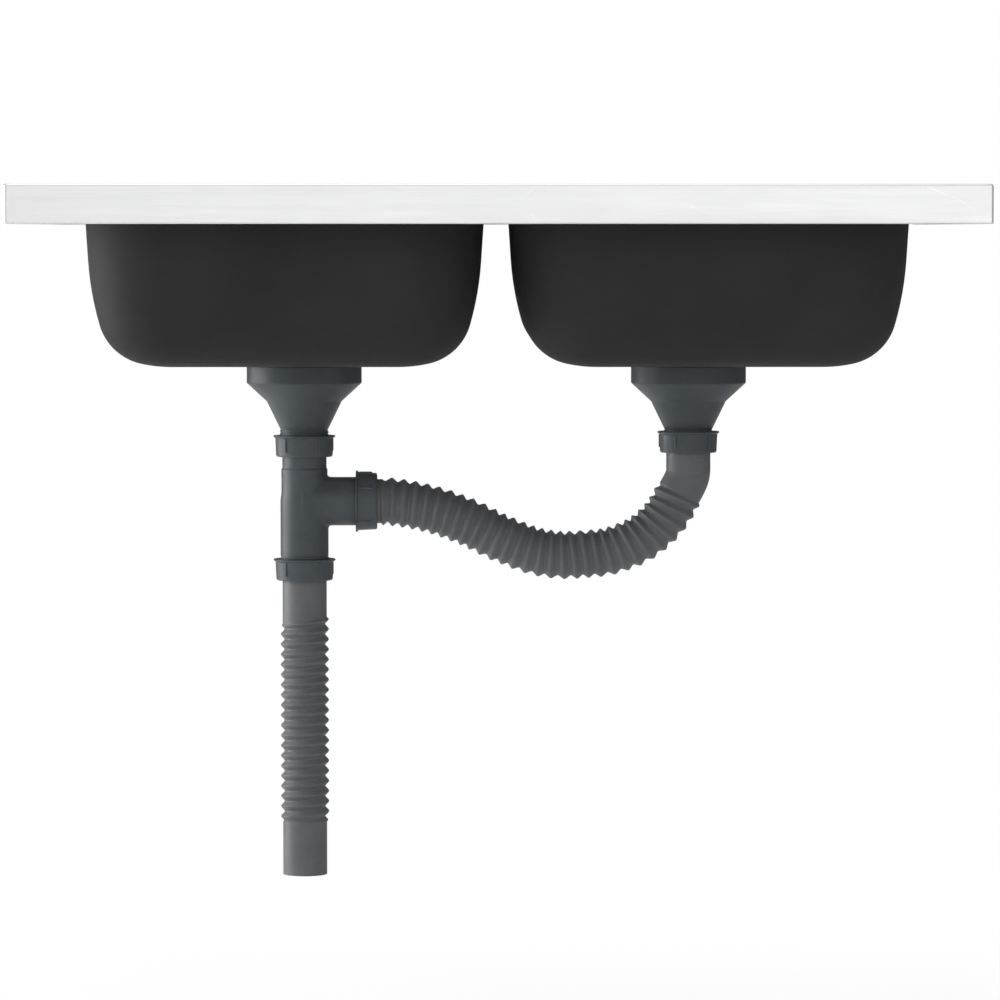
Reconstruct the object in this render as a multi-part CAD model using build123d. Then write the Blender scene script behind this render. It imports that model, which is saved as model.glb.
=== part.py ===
from build123d import *

import os
from math import cos, radians, sin, tan

# Lay-on double bowl kitchen sink with its plastic drain set.
# Millimetres, +Z up, +X to the right seen from the front, +Y towards the back wall.
# The origin is the centre of the plane on which the deck's return lip rests.

# ---- deck -------------------------------------------------------------------
SHEET = 0.8  # gauge of the stainless steel
BOWL_WIDTH = 335.2  # outside of one coated bowl, at the level of the deck's top
BOWL_LENGTH = 405.2  # the same, front to back
DIVIDER = 18.8  # between the two coated bowls, at the level of the deck's top
SIDE_LEDGE = 55.4
FRONT_LEDGE = 51.4
REAR_LEDGE = 143.4
APRON_HEIGHT = 32.4
RETURN_LIP = 15.0
DECK_CORNER = 4.0
EDGE_RADIUS = 2.0
RIM_WIDTH = 13.0  # raised edge that keeps water on the deck
RIM_STEP = 4.0
RIM_SLOPE = 45.0  # degrees from the horizontal
RIM_CORNER = 22.0
ROLL_RADIUS = 6.0  # rounded edge where the deck turns down into a bowl
COLLAR_DEPTH = 17.0  # from the deck's top down to the weld between deck and bowl
TAP_HOLE_RADIUS = 17.5
TAP_FROM_BACK = 70.0

# ---- bowls ------------------------------------------------------------------
BOWL_DEPTH = 151.3  # deck's top to the underside of the flat floor
BOWL_CORNER = 76.0
BOWL_DRAFT = 3.7  # degrees, of the straight upper wall
# Below the straight wall, the section bends to the floor in three arcs.
WALL_RADIUS = 253.0
WALL_END = 16.0  # degrees from the vertical
HEEL_RADIUS = 46.0
HEEL_END = 77.0  # degrees from the vertical
FLOOR_RADIUS = 111.0
FLOOR_OVERLAP = 1.0  # of the bent skin with the flat floor
COAT = 1.2  # sound-deadening coat under the bowls
COAT_START = 22.0  # below the deck's top
COAT_GAP = 1.5  # bare metal round the drain's gasket
DISH_DEPTH = 0.8  # the floor falls this much towards the strainer
DISH_WIDTH = 26.0  # of the slope, from beyond the strainer's flange
DRAIN_INBOARD = 11.9  # the strainer sits this much nearer to the divider than the bowl's centre

# ---- strainer, in the bowl's floor ---------------------------------------------
HOLE_GAP = 2.0  # strainer cup to the edge of the bowl's waste hole
SEAL_THICKNESS = 1.0
GASKET_THICKNESS = 3.0
GAUGE = 0.8  # of the pressed strainer parts
FLANGE_WIDTH = 11.0  # flat flange beyond the waste hole
CUP_GAP = 3.55  # strainer cup to the inside of the drain body
CUP_DEPTH = 24.5
LEDGE_DROP = 6.5  # flange to the ledge that carries the basket
LEDGE_WIDTH = 6.0
BASKET_SEAL = 2.2
BASKET_DEPTH = 15.0
BASKET_GAP = 3.0  # basket's wall to the ledge's inner edge
BASKET_SLOTS = 14
BASKET_SLOT = 2.4
BASKET_HOLE_RADIUS = 1.9
BASKET_HOLES = ((0.34, 7), (0.545, 12), (0.735, 17))  # share of the basket's radius, count
BASKET_DRAW = 2.0  # taper of the basket's wall
RIM_GAP = 2.2  # basket's rim to the mid-line of the cup's wall
SEAL_INSET = 0.5  # basket's seal inside the edge of the rim above it
SEAL_GAP = 1.6  # basket's seal to the mid-line of the basket's wall
KNOB_RADIUS = 9.0
KNOB_HEIGHT = 13.0
STEM_RADIUS = 3.5
CUP_HOLE_RADIUS = 6.0
CUP_HOLES = 8
CUP_HOLE_RING = 0.55  # share of the ledge's radius
CUP_TAPER = 0.4  # of the cup's wall above its ledge
CUP_DRAW = 1.0  # of the cup's wall below its ledge
SCREW_RADIUS = 3.0
SCREW_HEAD_RADIUS = 5.5
SCREW_HEAD = 3.0
INSERT_RADIUS = 4.5
INSERT_LENGTH = 9.0
SCREW_SLOT = 1.4
SCREW_TIP = 2.0  # screw showing past the insert
FIT = 0.05  # between pieces that are clamped or screwed together
CLEARANCE = 0.3  # between pieces that move past each other
OVERCUT = 2.0  # how far a cutter reaches past what it cuts

# ---- drain body, below the bowl ------------------------------------------------
BODY_RADIUS = 49.35
BODY_WALL = 2.8
BODY_CYLINDER = 16.3  # from the coat's underside down to the first cone
UPPER_CONE = 15.9
LOWER_CONE = 23.3
WAIST_RADIUS = 32.1
NECK_RADIUS = 20.8
BOSS_RADIUS = 7.5
BOSS_HEIGHT = 14.0
BOSS_ARMS = 4
ARM_THICKNESS = 2.6

# ---- union joints ----------------------------------------------------------------
PIPE_RADIUS = 19.0  # 38 mm waste pipe
THREAD_RADIUS = 21.1
THREAD_PITCH = 2.309  # 11 threads to the inch
THREAD_CLEARANCE = 0.1
LEFT_TURNS = 4.0  # turns of thread that each nut is screwed on
RIGHT_TURNS = 5.5
BRANCH_TURNS = 4.0
LOWER_TURNS = 4.0
NUT_SHOWS = 6.0  # from the cone's end to the left nut's lip
NUT_HEIGHT = 19.6
NUT_LIP_RADIUS = 26.8
NUT_LIP = 2.2
NUT_RADIUS = 25.0
NUT_TAPER = 0.7
NUT_END = 3.0
NUT_BORE = 20.1
NUT_RIBS = 5  # grip ribs
RIB_WIDTH = 2.3
RIB_HEIGHT = 1.2
RIB_ROOT = 0.7  # of a rib's depth inside the nut's wall
RIB_END = 3.4  # left plain below a nut's ribs
LEFT_NUT_TURN = 14.0  # degrees from the right round to a rib, as the nut was tightened
RIGHT_NUT_TURN = 25.0
LOWER_NUT_TURN = 16.0
BRANCH_NUT_TURN = 12.0  # degrees from the top
WASHER_THICKNESS = 1.5
SOCKET_DEPTH = 20.0
MOUTH_CHAMFER = 1.2
SOCKET_GAP = 1.5  # left between a pipe's end and the bottom of its socket
BORE_RADIUS = 17.3

# ---- tee and hoses ---------------------------------------------------------------
TEE_STEP = 8.2  # narrow part of the tee's spigot that shows under its nut
TEE_UPPER_RADIUS = 19.8
TEE_LOWER_RADIUS = 20.65
BRANCH_RADIUS = 20.85
BRANCH_DROP = 56.7  # left nut's lip to the branch's axis
BRANCH_REACH = 42.9  # run's axis to the branch nut's lip
LOWER_DROP = 49.6  # branch's axis to the lower nut's lip
THREAD_SHOWS = 2.4  # thread left bare beside the branch nut and the lower nut
RIB_RADIUS = 20.8
VALLEY_RADIUS = 17.6
RIB_CREST = 0.14  # share of the pitch
RIB_FOOT = 0.80  # share of the pitch
HOSE_BORE = 16.2
CROSSOVER_RIBS = 29
CROSSOVER_PLAIN = 3.6  # plain cuff beyond the branch nut
RIGHT_CUFF = 34.0  # plain cuff beyond the right nut, straight and then bent
RIGHT_STRAIGHT = 13.5
OUTLET_PITCH = 8.75
OUTLET_RIBS = 20
OUTLET_CUFF = 33.0  # plain cuff beyond the lower nut
OUTLET_END = 45.0  # plain cuff at the free end
HOSE_SAG = 46.6  # of the crossover hose, below the branch's axis
# Route of the crossover hose: share of the way across to the right strainer, and height
# above the branch's axis as a share of the sag.
ROUTE = [(0.13, -0.077), (0.265, -0.247), (0.40, -0.558), (0.53, -0.88), (0.655, -1.0),
         (0.78, -0.869), (0.89, -0.472), (0.97, 0.15)]

# ---- places ------------------------------------------------------------------------
DECK_WIDTH = 2 * (SIDE_LEDGE + BOWL_WIDTH) + DIVIDER
DECK_LENGTH = FRONT_LEDGE + BOWL_LENGTH + REAR_LEDGE
DECK_TOP = APRON_HEIGHT
PAN_TOP = DECK_TOP - RIM_STEP
SEAM = DECK_TOP - COLLAR_DEPTH
BOWL_X = (BOWL_WIDTH + DIVIDER) / 2
BOWL_Y = -DECK_LENGTH / 2 + FRONT_LEDGE + BOWL_LENGTH / 2
DRAIN_X = BOWL_X - DRAIN_INBOARD
FLOOR = DECK_TOP - BOWL_DEPTH
COAT_BASE = FLOOR - DISH_DEPTH  # underside of the coat at the strainer
CUP_RADIUS = BODY_RADIUS - BODY_WALL - CUP_GAP
WASTE_HOLE_RADIUS = CUP_RADIUS + HOLE_GAP
FLANGE_RADIUS = WASTE_HOLE_RADIUS + FLANGE_WIDTH
LEDGE_RADIUS = CUP_RADIUS - LEDGE_WIDTH
BASKET_RADIUS = LEDGE_RADIUS - BASKET_GAP
DISH_RADIUS = FLANGE_RADIUS + DISH_WIDTH
SEAT = COAT_BASE + COAT + SHEET  # the floor inside the bowl, at the strainer
FLANGE_MID = SEAT + SEAL_THICKNESS + GAUGE / 2
LEDGE_TOP = FLANGE_MID - LEDGE_DROP + GAUGE / 2
RIM_MID = LEDGE_TOP + BASKET_SEAL + GAUGE / 2
CUP_FLOOR = FLANGE_MID - CUP_DEPTH + GAUGE / 2
BOSS_TOP = FLANGE_MID - CUP_DEPTH - GAUGE / 2 - FIT
BODY_TOP = COAT_BASE + COAT - GASKET_THICKNESS
CONE_TOP = COAT_BASE - BODY_CYLINDER
WAIST = CONE_TOP - UPPER_CONE
NECK_TOP = WAIST - LOWER_CONE
SOCKET_RADIUS = PIPE_RADIUS + 0.2
LEFT_LIP = NECK_TOP - NUT_SHOWS
NECK_MOUTH = LEFT_LIP - LEFT_TURNS * THREAD_PITCH
RIGHT_LIP = NECK_MOUTH + RIGHT_TURNS * THREAD_PITCH
SPIGOT_TOP = NECK_MOUTH + SOCKET_DEPTH - SOCKET_GAP
BRANCH_Z = LEFT_LIP - BRANCH_DROP
BRANCH_LIP = -DRAIN_X + BRANCH_REACH
BRANCH_MOUTH = BRANCH_LIP + BRANCH_TURNS * THREAD_PITCH
LOWER_LIP = BRANCH_Z - LOWER_DROP
LOWER_MOUTH = LOWER_LIP - LOWER_TURNS * THREAD_PITCH

FLOOR_CUT = DISH_DEPTH + COAT + SHEET + 2 * OVERCUT

FRONT_PLANE = Plane.XZ  # profiles are drawn here and turned about the upright axis


# ---- helpers -------------------------------------------------------------------------
def turned(*points):
    """Solid of revolution about the upright axis from a closed profile."""
    return revolve(FRONT_PLANE * make_face(Polyline(*points, close=True)), Axis.Z)


def ring(outer, inner, base, height):
    """Flat ring that stands on `base`."""
    return turned((inner, base), (outer, base), (outer, base + height), (inner, base + height))


def rod(radius, base, height):
    """Upright cylinder that stands on `base`."""
    return Pos(0, 0, base + height / 2) * Cylinder(radius, height)


def pressed(points, bends, gauge):
    """Turned sheet piece: its mid-line runs through `points` with rounded `bends`."""
    mid_line = FilletPolyline(*points, radius=bends)
    return revolve(FRONT_PLANE * trace(mid_line, line_width=gauge), Axis.Z)


def save(node, solid):
    """Write one sub-part."""
    export_step(solid, f"parts/{node}.step")


# ---- bowls -----------------------------------------------------------------------------
def bowl_outline(level, inset):
    """Rounded outline of a bowl at a level, its wall `inset` inside the coat's skin."""
    narrowing = inset / cos(radians(BOWL_DRAFT)) + (DECK_TOP - level) * tan(radians(BOWL_DRAFT))
    return Pos(0, 0, level) * RectangleRounded(
        BOWL_WIDTH - 2 * narrowing, BOWL_LENGTH - 2 * narrowing, BOWL_CORNER - narrowing)


def bowl_block(top, bottom, inset):
    """Drafted block with a bowl's outline."""
    return extrude(bowl_outline(top, inset), amount=top - bottom, dir=(0, 0, -1), taper=BOWL_DRAFT)


def bowl_section(top, inset):
    """Section of a bowl's side up to `top`, drawn inwards from its outline, and its width."""
    drop = [arc_drop(WALL_RADIUS, BOWL_DRAFT, WALL_END), arc_drop(HEEL_RADIUS, WALL_END, HEEL_END),
            arc_drop(FLOOR_RADIUS, HEEL_END, 90)]
    straight = BOWL_DEPTH - sum(drop)
    slope = radians(BOWL_DRAFT)
    start = (-inset / cos(slope) - (DECK_TOP - top) * tan(slope), top)
    bend = (-straight * tan(slope) - inset * cos(slope), DECK_TOP - straight + inset * sin(slope))
    wall = Line(start, bend)
    side = JernArc(wall @ 1, wall % 1, WALL_RADIUS - inset, BOWL_DRAFT - WALL_END)
    heel = JernArc(side @ 1, side % 1, HEEL_RADIUS - inset, WALL_END - HEEL_END)
    toe = JernArc(heel @ 1, heel % 1, FLOOR_RADIUS - inset, HEEL_END - 90)
    width = FLOOR_OVERLAP - (toe @ 1).X
    back = Polyline(toe @ 1, (-width, FLOOR + inset), (-width, top), start)
    return make_face([wall, side, heel, toe, back]), width


def arc_drop(radius, start, end):
    """Height of an arc between two slopes, in degrees from the vertical."""
    return radius * (sin(radians(end)) - sin(radians(start)))


def bowl_form(top, inset, drain_x):
    """Bowl filled up to `top`, with its bent sides and the dish round its strainer."""
    floor = FLOOR + inset
    section, width = bowl_section(top, inset)
    path = RectangleRounded(BOWL_WIDTH, BOWL_LENGTH, BOWL_CORNER).wire()
    along = path % 0
    seat = Plane(origin=path @ 0, x_dir=along.cross(Vector(0, 0, 1)), z_dir=-along)
    narrowing = width - FLOOR_OVERLAP / 2
    middle = extrude(RectangleRounded(BOWL_WIDTH - 2 * narrowing, BOWL_LENGTH - 2 * narrowing,
                                      BOWL_CORNER - narrowing), amount=top - floor)
    dish = turned((0, floor + 1), (DISH_RADIUS, floor + 1), (DISH_RADIUS, floor),
                  (FLANGE_RADIUS + 2, floor - DISH_DEPTH), (0, floor - DISH_DEPTH))
    sides = sweep(seat * section, path=path)
    return sides + Pos(0, 0, floor) * middle + Pos(drain_x, 0, 0) * dish


def bowl(drain_x):
    """Deep-drawn bowl, welded to the deck's collar at its top edge."""
    shell = bowl_form(SEAM, COAT, drain_x) - bowl_form(SEAM, COAT + SHEET, drain_x)
    return shell - Pos(drain_x, 0, 0) * rod(WASTE_HOLE_RADIUS, COAT_BASE - OVERCUT, FLOOR_CUT)


def undercoat(drain_x):
    """Sprayed coat on the outside of a bowl, bare round the drain's gasket."""
    top = DECK_TOP - COAT_START
    coat = bowl_form(top, 0, drain_x) - bowl_form(top, COAT, drain_x)
    return coat - Pos(drain_x, 0, 0) * rod(BODY_RADIUS + COAT_GAP, COAT_BASE - OVERCUT, FLOOR_CUT)


# ---- deck ------------------------------------------------------------------------------
def deck_block(inset):
    """Block whose faces lie `inset` inside the deck's skin, with the sunken pan cut in."""
    block = extrude(RectangleRounded(DECK_WIDTH - 2 * inset, DECK_LENGTH - 2 * inset,
                                     DECK_CORNER - inset), amount=DECK_TOP - inset)
    block = fillet(block.faces().sort_by(Axis.Z)[-1].edges(), EDGE_RADIUS - inset)
    shift = RIM_WIDTH - inset * tan(radians(RIM_SLOPE / 2))
    pan = Pos(0, 0, DECK_TOP - inset) * RectangleRounded(
        DECK_WIDTH - 2 * shift, DECK_LENGTH - 2 * shift, RIM_CORNER)
    return block - extrude(pan, amount=RIM_STEP, dir=(0, 0, -1), taper=90 - RIM_SLOPE)


def opening_edges(solid, level, side):
    """Edges of one bowl's opening that lie at a level."""
    found = solid.edges().filter_by_position(Axis.Z, level - 0.01, level + 0.01)
    return found.filter_by(
        lambda edge: abs(edge.center().X - side * BOWL_X) < BOWL_WIDTH / 2
        and abs(edge.center().Y - BOWL_Y) < BOWL_LENGTH / 2)


def deck():
    """Pressed top with its apron, return lip, sunken pan, two collars and a tap hole."""
    lip = extrude(RectangleRounded(DECK_WIDTH, DECK_LENGTH, DECK_CORNER), amount=SHEET)
    top = deck_block(0) - deck_block(SHEET) + lip
    top -= extrude(RectangleRounded(DECK_WIDTH - 2 * RETURN_LIP, DECK_LENGTH - 2 * RETURN_LIP,
                                    DECK_CORNER), amount=SHEET)
    for side in (-1, 1):
        place = Pos(side * BOWL_X, BOWL_Y, 0)
        top += place * bowl_block(PAN_TOP, SEAM, COAT)
    for side in (-1, 1):
        place = Pos(side * BOWL_X, BOWL_Y, 0)
        top -= place * bowl_block(DECK_TOP, SEAM, COAT + SHEET)
    for side in (-1, 1):
        top = fillet(opening_edges(top, PAN_TOP - SHEET, side), ROLL_RADIUS + SHEET)
    for side in (-1, 1):
        top = fillet(opening_edges(top, PAN_TOP, side), ROLL_RADIUS)
    return top - Pos(0, DECK_LENGTH / 2 - TAP_FROM_BACK, 0) * rod(TAP_HOLE_RADIUS, 0, DECK_TOP)


# ---- strainer --------------------------------------------------------------------------
def strainer_flange():
    """Pressed cup with a flange, a ledge for the basket and holes in its floor."""
    ledge = FLANGE_MID - LEDGE_DROP
    floor = FLANGE_MID - CUP_DEPTH
    cup = pressed([(FLANGE_RADIUS, FLANGE_MID), (CUP_RADIUS, FLANGE_MID), (CUP_RADIUS - CUP_TAPER, ledge),
                   (LEDGE_RADIUS, ledge), (LEDGE_RADIUS - CUP_DRAW, floor),
                   (SCREW_RADIUS + FIT, floor)],
                  [2.5, 2.0, 2.0, 8.0], GAUGE)
    hole = rod(CUP_HOLE_RADIUS, floor - OVERCUT, 2 * OVERCUT)
    return cup - PolarLocations(LEDGE_RADIUS * CUP_HOLE_RING, CUP_HOLES) * hole


def basket():
    """Lift-out pressed basket with slots in its wall and holes in its floor."""
    floor = RIM_MID - BASKET_DEPTH
    shell = pressed([(CUP_RADIUS - RIM_GAP, RIM_MID), (BASKET_RADIUS, RIM_MID),
                     (BASKET_RADIUS - BASKET_DRAW, floor), (STEM_RADIUS - 1, floor)],
                    [2.0, 5.0], GAUGE)
    slot = Box(3 * OVERCUT, BASKET_SLOT, BASKET_DEPTH * 0.45)
    slot = Pos(0, 0, RIM_MID - BASKET_DEPTH * 0.48) * slot
    shell -= PolarLocations(BASKET_RADIUS - 1, BASKET_SLOTS) * slot
    hole = rod(BASKET_HOLE_RADIUS, floor - OVERCUT, 2 * OVERCUT)
    for share, count in BASKET_HOLES:
        shell -= PolarLocations(share * BASKET_RADIUS, count) * hole
    return shell


def basket_knob():
    """Grip in the middle of the basket, its foot on the basket's floor."""
    foot = RIM_MID - BASKET_DEPTH + GAUGE / 2
    top = RIM_MID + KNOB_HEIGHT
    knob = turned((0, foot), (STEM_RADIUS + 2, foot), (STEM_RADIUS + 2, foot + 1.5),
                  (STEM_RADIUS, foot + 3), (STEM_RADIUS, top - 6), (KNOB_RADIUS - 1, top - 5),
                  (KNOB_RADIUS, top - 3.5), (KNOB_RADIUS - 0.6, top - 1), (KNOB_RADIUS - 2, top),
                  (0, top))
    return knob


def clamp_screw():
    """Screw that pulls the strainer and the drain body together."""
    tip = BOSS_TOP - INSERT_LENGTH - SCREW_TIP
    head = rod(SCREW_HEAD_RADIUS, CUP_FLOOR, SCREW_HEAD)
    head = fillet(head.faces().sort_by(Axis.Z)[-1].edges(), 1.2)
    slot = Box(2 * SCREW_HEAD_RADIUS + OVERCUT, SCREW_SLOT, SCREW_HEAD * 0.9)
    slot = Pos(0, 0, CUP_FLOOR + SCREW_HEAD) * slot
    return head - slot + rod(SCREW_RADIUS, tip, CUP_FLOOR - tip)


def drain_body():
    """Moulded body: cup, two cones, threaded neck, and a boss on arms for the screw."""
    wall = BODY_WALL
    socket_top = NECK_MOUTH + SOCKET_DEPTH
    outside = turned((0, BODY_TOP), (BODY_RADIUS, BODY_TOP), (BODY_RADIUS, CONE_TOP),
                     (WAIST_RADIUS, WAIST), (NECK_RADIUS, NECK_TOP),
                     (THREAD_RADIUS, NECK_TOP - 1), (THREAD_RADIUS, NECK_MOUTH), (0, NECK_MOUTH))
    inside = turned((0, BODY_TOP), (BODY_RADIUS - wall, BODY_TOP),
                    (BODY_RADIUS - wall, CONE_TOP + 0.3 * wall),
                    (WAIST_RADIUS - wall, WAIST + 0.4 * wall), (BORE_RADIUS, socket_top + 1),
                    (BORE_RADIUS, socket_top), (SOCKET_RADIUS, socket_top),
                    (SOCKET_RADIUS, NECK_MOUTH + 2 * MOUTH_CHAMFER),
                    (SOCKET_RADIUS + MOUTH_CHAMFER, NECK_MOUTH), (0, NECK_MOUTH))
    boss = rod(BOSS_RADIUS, BOSS_TOP - BOSS_HEIGHT, BOSS_HEIGHT)
    for turn in range(BOSS_ARMS // 2):
        arm = Box(2 * BODY_RADIUS, ARM_THICKNESS, BOSS_HEIGHT - 2)
        boss += Pos(0, 0, BOSS_TOP - BOSS_HEIGHT / 2 - 1) * Rot(0, 0, 360 / BOSS_ARMS * turn) * arm
    body = outside - inside + (boss & outside)
    body -= rod(INSERT_RADIUS + FIT, BOSS_TOP - INSERT_LENGTH, INSERT_LENGTH)
    hole_depth = INSERT_LENGTH + SCREW_TIP + CLEARANCE
    return body - rod(SCREW_RADIUS + CLEARANCE, BOSS_TOP - hole_depth, hole_depth)


# ---- union joints ----------------------------------------------------------------------
# Each is drawn below its nut's lip, which lies at height 0, with the thread above it.
def union_nut():
    """Nut with a flared lip, a slight taper, grip ribs and an inner shoulder."""
    end = NUT_RADIUS - NUT_TAPER
    nut = turned((THREAD_RADIUS + THREAD_CLEARANCE, 0), (NUT_LIP_RADIUS, 0),
                 (NUT_LIP_RADIUS - 0.3, -NUT_LIP * 0.5), (NUT_RADIUS, -NUT_LIP),
                 (end, 2.5 - NUT_HEIGHT), (end - 2, -NUT_HEIGHT), (NUT_BORE, -NUT_HEIGHT),
                 (NUT_BORE, NUT_END - NUT_HEIGHT),
                 (THREAD_RADIUS + THREAD_CLEARANCE, NUT_END - NUT_HEIGHT))
    depth = RIB_HEIGHT + RIB_ROOT + NUT_TAPER
    length = NUT_HEIGHT - NUT_LIP / 2 - RIB_END
    rib = Pos(0, 0, -(NUT_LIP + length) / 2) * Box(depth, RIB_WIDTH, length)
    ribs_at = NUT_RADIUS - NUT_TAPER / 2 + RIB_HEIGHT - depth / 2
    return nut + PolarLocations(ribs_at, NUT_RIBS) * rib


def slip_washer():
    """Thrust ring between the nut's shoulder and the cone seal."""
    base = NUT_END - NUT_HEIGHT
    return ring(THREAD_RADIUS - 0.1, PIPE_RADIUS + CLEARANCE, base + FIT, WASHER_THICKNESS)


def cone_seal(turns):
    """Rubber wedge squeezed into the socket's chamfer by a nut `turns` on."""
    mouth = -turns * THREAD_PITCH
    base = NUT_END - NUT_HEIGHT + WASHER_THICKNESS + 2 * FIT
    inner, outer = PIPE_RADIUS + FIT, SOCKET_RADIUS + MOUTH_CHAMFER - 2 * FIT
    return turned((inner, base), (outer, base), (outer, mouth),
                  (outer - MOUTH_CHAMFER + FIT, mouth + 2 * MOUTH_CHAMFER - 4 * FIT),
                  (inner, mouth + 2 * MOUTH_CHAMFER - 4 * FIT))


def place_union(names, place, turns, nut_turn):
    """Write one union joint's nut, washer and seal where its nut's lip lies."""
    nut, washer, seal = names
    save(nut, place * Rot(0, 0, nut_turn) * union_nut())
    save(washer, place * slip_washer())
    save(seal, place * cone_seal(turns))


# ---- tee -------------------------------------------------------------------------------
def tee_pipe():
    """Tee: spigot up into the left neck, threaded socket down and one to the right."""
    across = BRANCH_LIP - THREAD_SHOWS
    step_top = LEFT_LIP - NUT_HEIGHT - TEE_STEP
    run = turned((0, SPIGOT_TOP), (PIPE_RADIUS, SPIGOT_TOP), (PIPE_RADIUS, step_top),
                 (TEE_UPPER_RADIUS, step_top - 1.5), (TEE_UPPER_RADIUS, BRANCH_Z + 3),
                 (TEE_LOWER_RADIUS, BRANCH_Z), (TEE_LOWER_RADIUS, LOWER_LIP + THREAD_SHOWS),
                 (THREAD_RADIUS, LOWER_LIP + THREAD_SHOWS), (THREAD_RADIUS, LOWER_MOUTH),
                 (0, LOWER_MOUTH))
    side = turned((0, 0), (BRANCH_RADIUS, 0), (BRANCH_RADIUS, across + DRAIN_X),
                  (THREAD_RADIUS, across + DRAIN_X), (THREAD_RADIUS, BRANCH_MOUTH + DRAIN_X),
                  (0, BRANCH_MOUTH + DRAIN_X))
    branch = Pos(0, 0, BRANCH_Z) * Rot(0, 90, 0)
    body = run + branch * side - branch * socket_cut(BRANCH_MOUTH + DRAIN_X)
    body -= Pos(0, 0, BRANCH_Z) * Rot(180, 0, 0) * socket_cut(BRANCH_Z - LOWER_MOUTH)
    return body - rod(BORE_RADIUS, BRANCH_Z, SPIGOT_TOP - BRANCH_Z)


def socket_cut(mouth):
    """Hollow of a pipe socket that opens at `mouth` along its axis, and the bore behind it."""
    stop = mouth - SOCKET_DEPTH
    return turned((0, 0), (BORE_RADIUS, 0), (BORE_RADIUS, stop), (SOCKET_RADIUS, stop),
                  (SOCKET_RADIUS, mouth - 2 * MOUTH_CHAMFER),
                  (SOCKET_RADIUS + MOUTH_CHAMFER, mouth), (0, mouth))


# ---- hoses -----------------------------------------------------------------------------
def sections(path, stations):
    """Circles across a path, each at its distance along it, all with the same X axis."""
    circles = []
    for distance, radius in stations:
        place = Plane(origin=path.position_at(distance, PositionMode.LENGTH), x_dir=(0, 1, 0),
                      z_dir=path.tangent_at(distance, PositionMode.LENGTH))
        circles.append(place * Circle(radius))
    return circles


def rib_stations(start, pitch, count):
    """Four circles for each rib: foot, two at the crest, foot."""
    found = []
    for number in range(count):
        crest = start + (number + 0.5) * pitch
        foot, top = RIB_FOOT / 2 * pitch, RIB_CREST / 2 * pitch
        found += [(crest - foot, VALLEY_RADIUS), (crest - top, RIB_RADIUS),
                  (crest + top, RIB_RADIUS), (crest + foot, VALLEY_RADIUS)]
    return found


def hose(path, plain_start, plain_end, count):
    """Ribbed hose along a path, with a plain cuff of the pipe's size at each end."""
    pitch = (path.length - plain_start[-1] - plain_end[-1]) / count
    start = [(distance, PIPE_RADIUS) for distance in plain_start]
    end = [(path.length - distance, PIPE_RADIUS) for distance in reversed(plain_end)]
    outer = start + rib_stations(plain_start[-1], pitch, count) + end
    steps = [plain_start[-1] + 2 * pitch * number for number in range(1, count // 2)]
    inner = ([(distance, HOSE_BORE) for distance in plain_start]
             + [(distance, HOSE_BORE) for distance in steps]
             + [(distance, HOSE_BORE) for distance, _ in end])
    solid = loft(sections(path, outer), ruled=True) - loft(sections(path, inner), ruled=True)
    print("hose: pitch", round(pitch, 2), "length", round(path.length, 1), "volume", round(solid.volume))
    return solid


def crossover_hose():
    """Hose that sags from the tee's branch and turns up into the right strainer's neck."""
    start = BRANCH_MOUTH - SOCKET_DEPTH + SOCKET_GAP
    branch_end = BRANCH_LIP + NUT_HEIGHT + CROSSOVER_PLAIN
    nut_end = RIGHT_LIP - NUT_HEIGHT
    cuff_end = nut_end - RIGHT_STRAIGHT
    across = DRAIN_X - branch_end
    points = [(branch_end, BOWL_Y, BRANCH_Z)]
    points += [(branch_end + share * across, BOWL_Y, BRANCH_Z + rise * HOSE_SAG)
               for share, rise in ROUTE]
    points.append((DRAIN_X, BOWL_Y, cuff_end))
    path = Wire([Edge.make_line((start, BOWL_Y, BRANCH_Z), points[0]),
                 Edge.make_spline(points, tangents=[(1, 0, 0), (0, 0, 1)]),
                 Edge.make_line(points[-1], (DRAIN_X, BOWL_Y, SPIGOT_TOP))])
    right_end = SPIGOT_TOP - nut_end + RIGHT_CUFF
    straight = SPIGOT_TOP - cuff_end
    bend = [straight + (right_end - straight) * part / 3 for part in range(4)]
    return hose(path, [0, branch_end - start], [0, *bend], CROSSOVER_RIBS)


def outlet_hose():
    """Hose that hangs from the tee, its free end a plain cuff for the wall pipe."""
    top = LOWER_MOUTH + SOCKET_DEPTH - SOCKET_GAP
    ribs_top = LOWER_LIP - NUT_HEIGHT - OUTLET_CUFF
    bottom = ribs_top - OUTLET_PITCH * OUTLET_RIBS - OUTLET_END
    path = Wire([Edge.make_line((-DRAIN_X, BOWL_Y, top), (-DRAIN_X, BOWL_Y, bottom))])
    return hose(path, [0, top - ribs_top], [0, OUTLET_END], OUTLET_RIBS)


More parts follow.
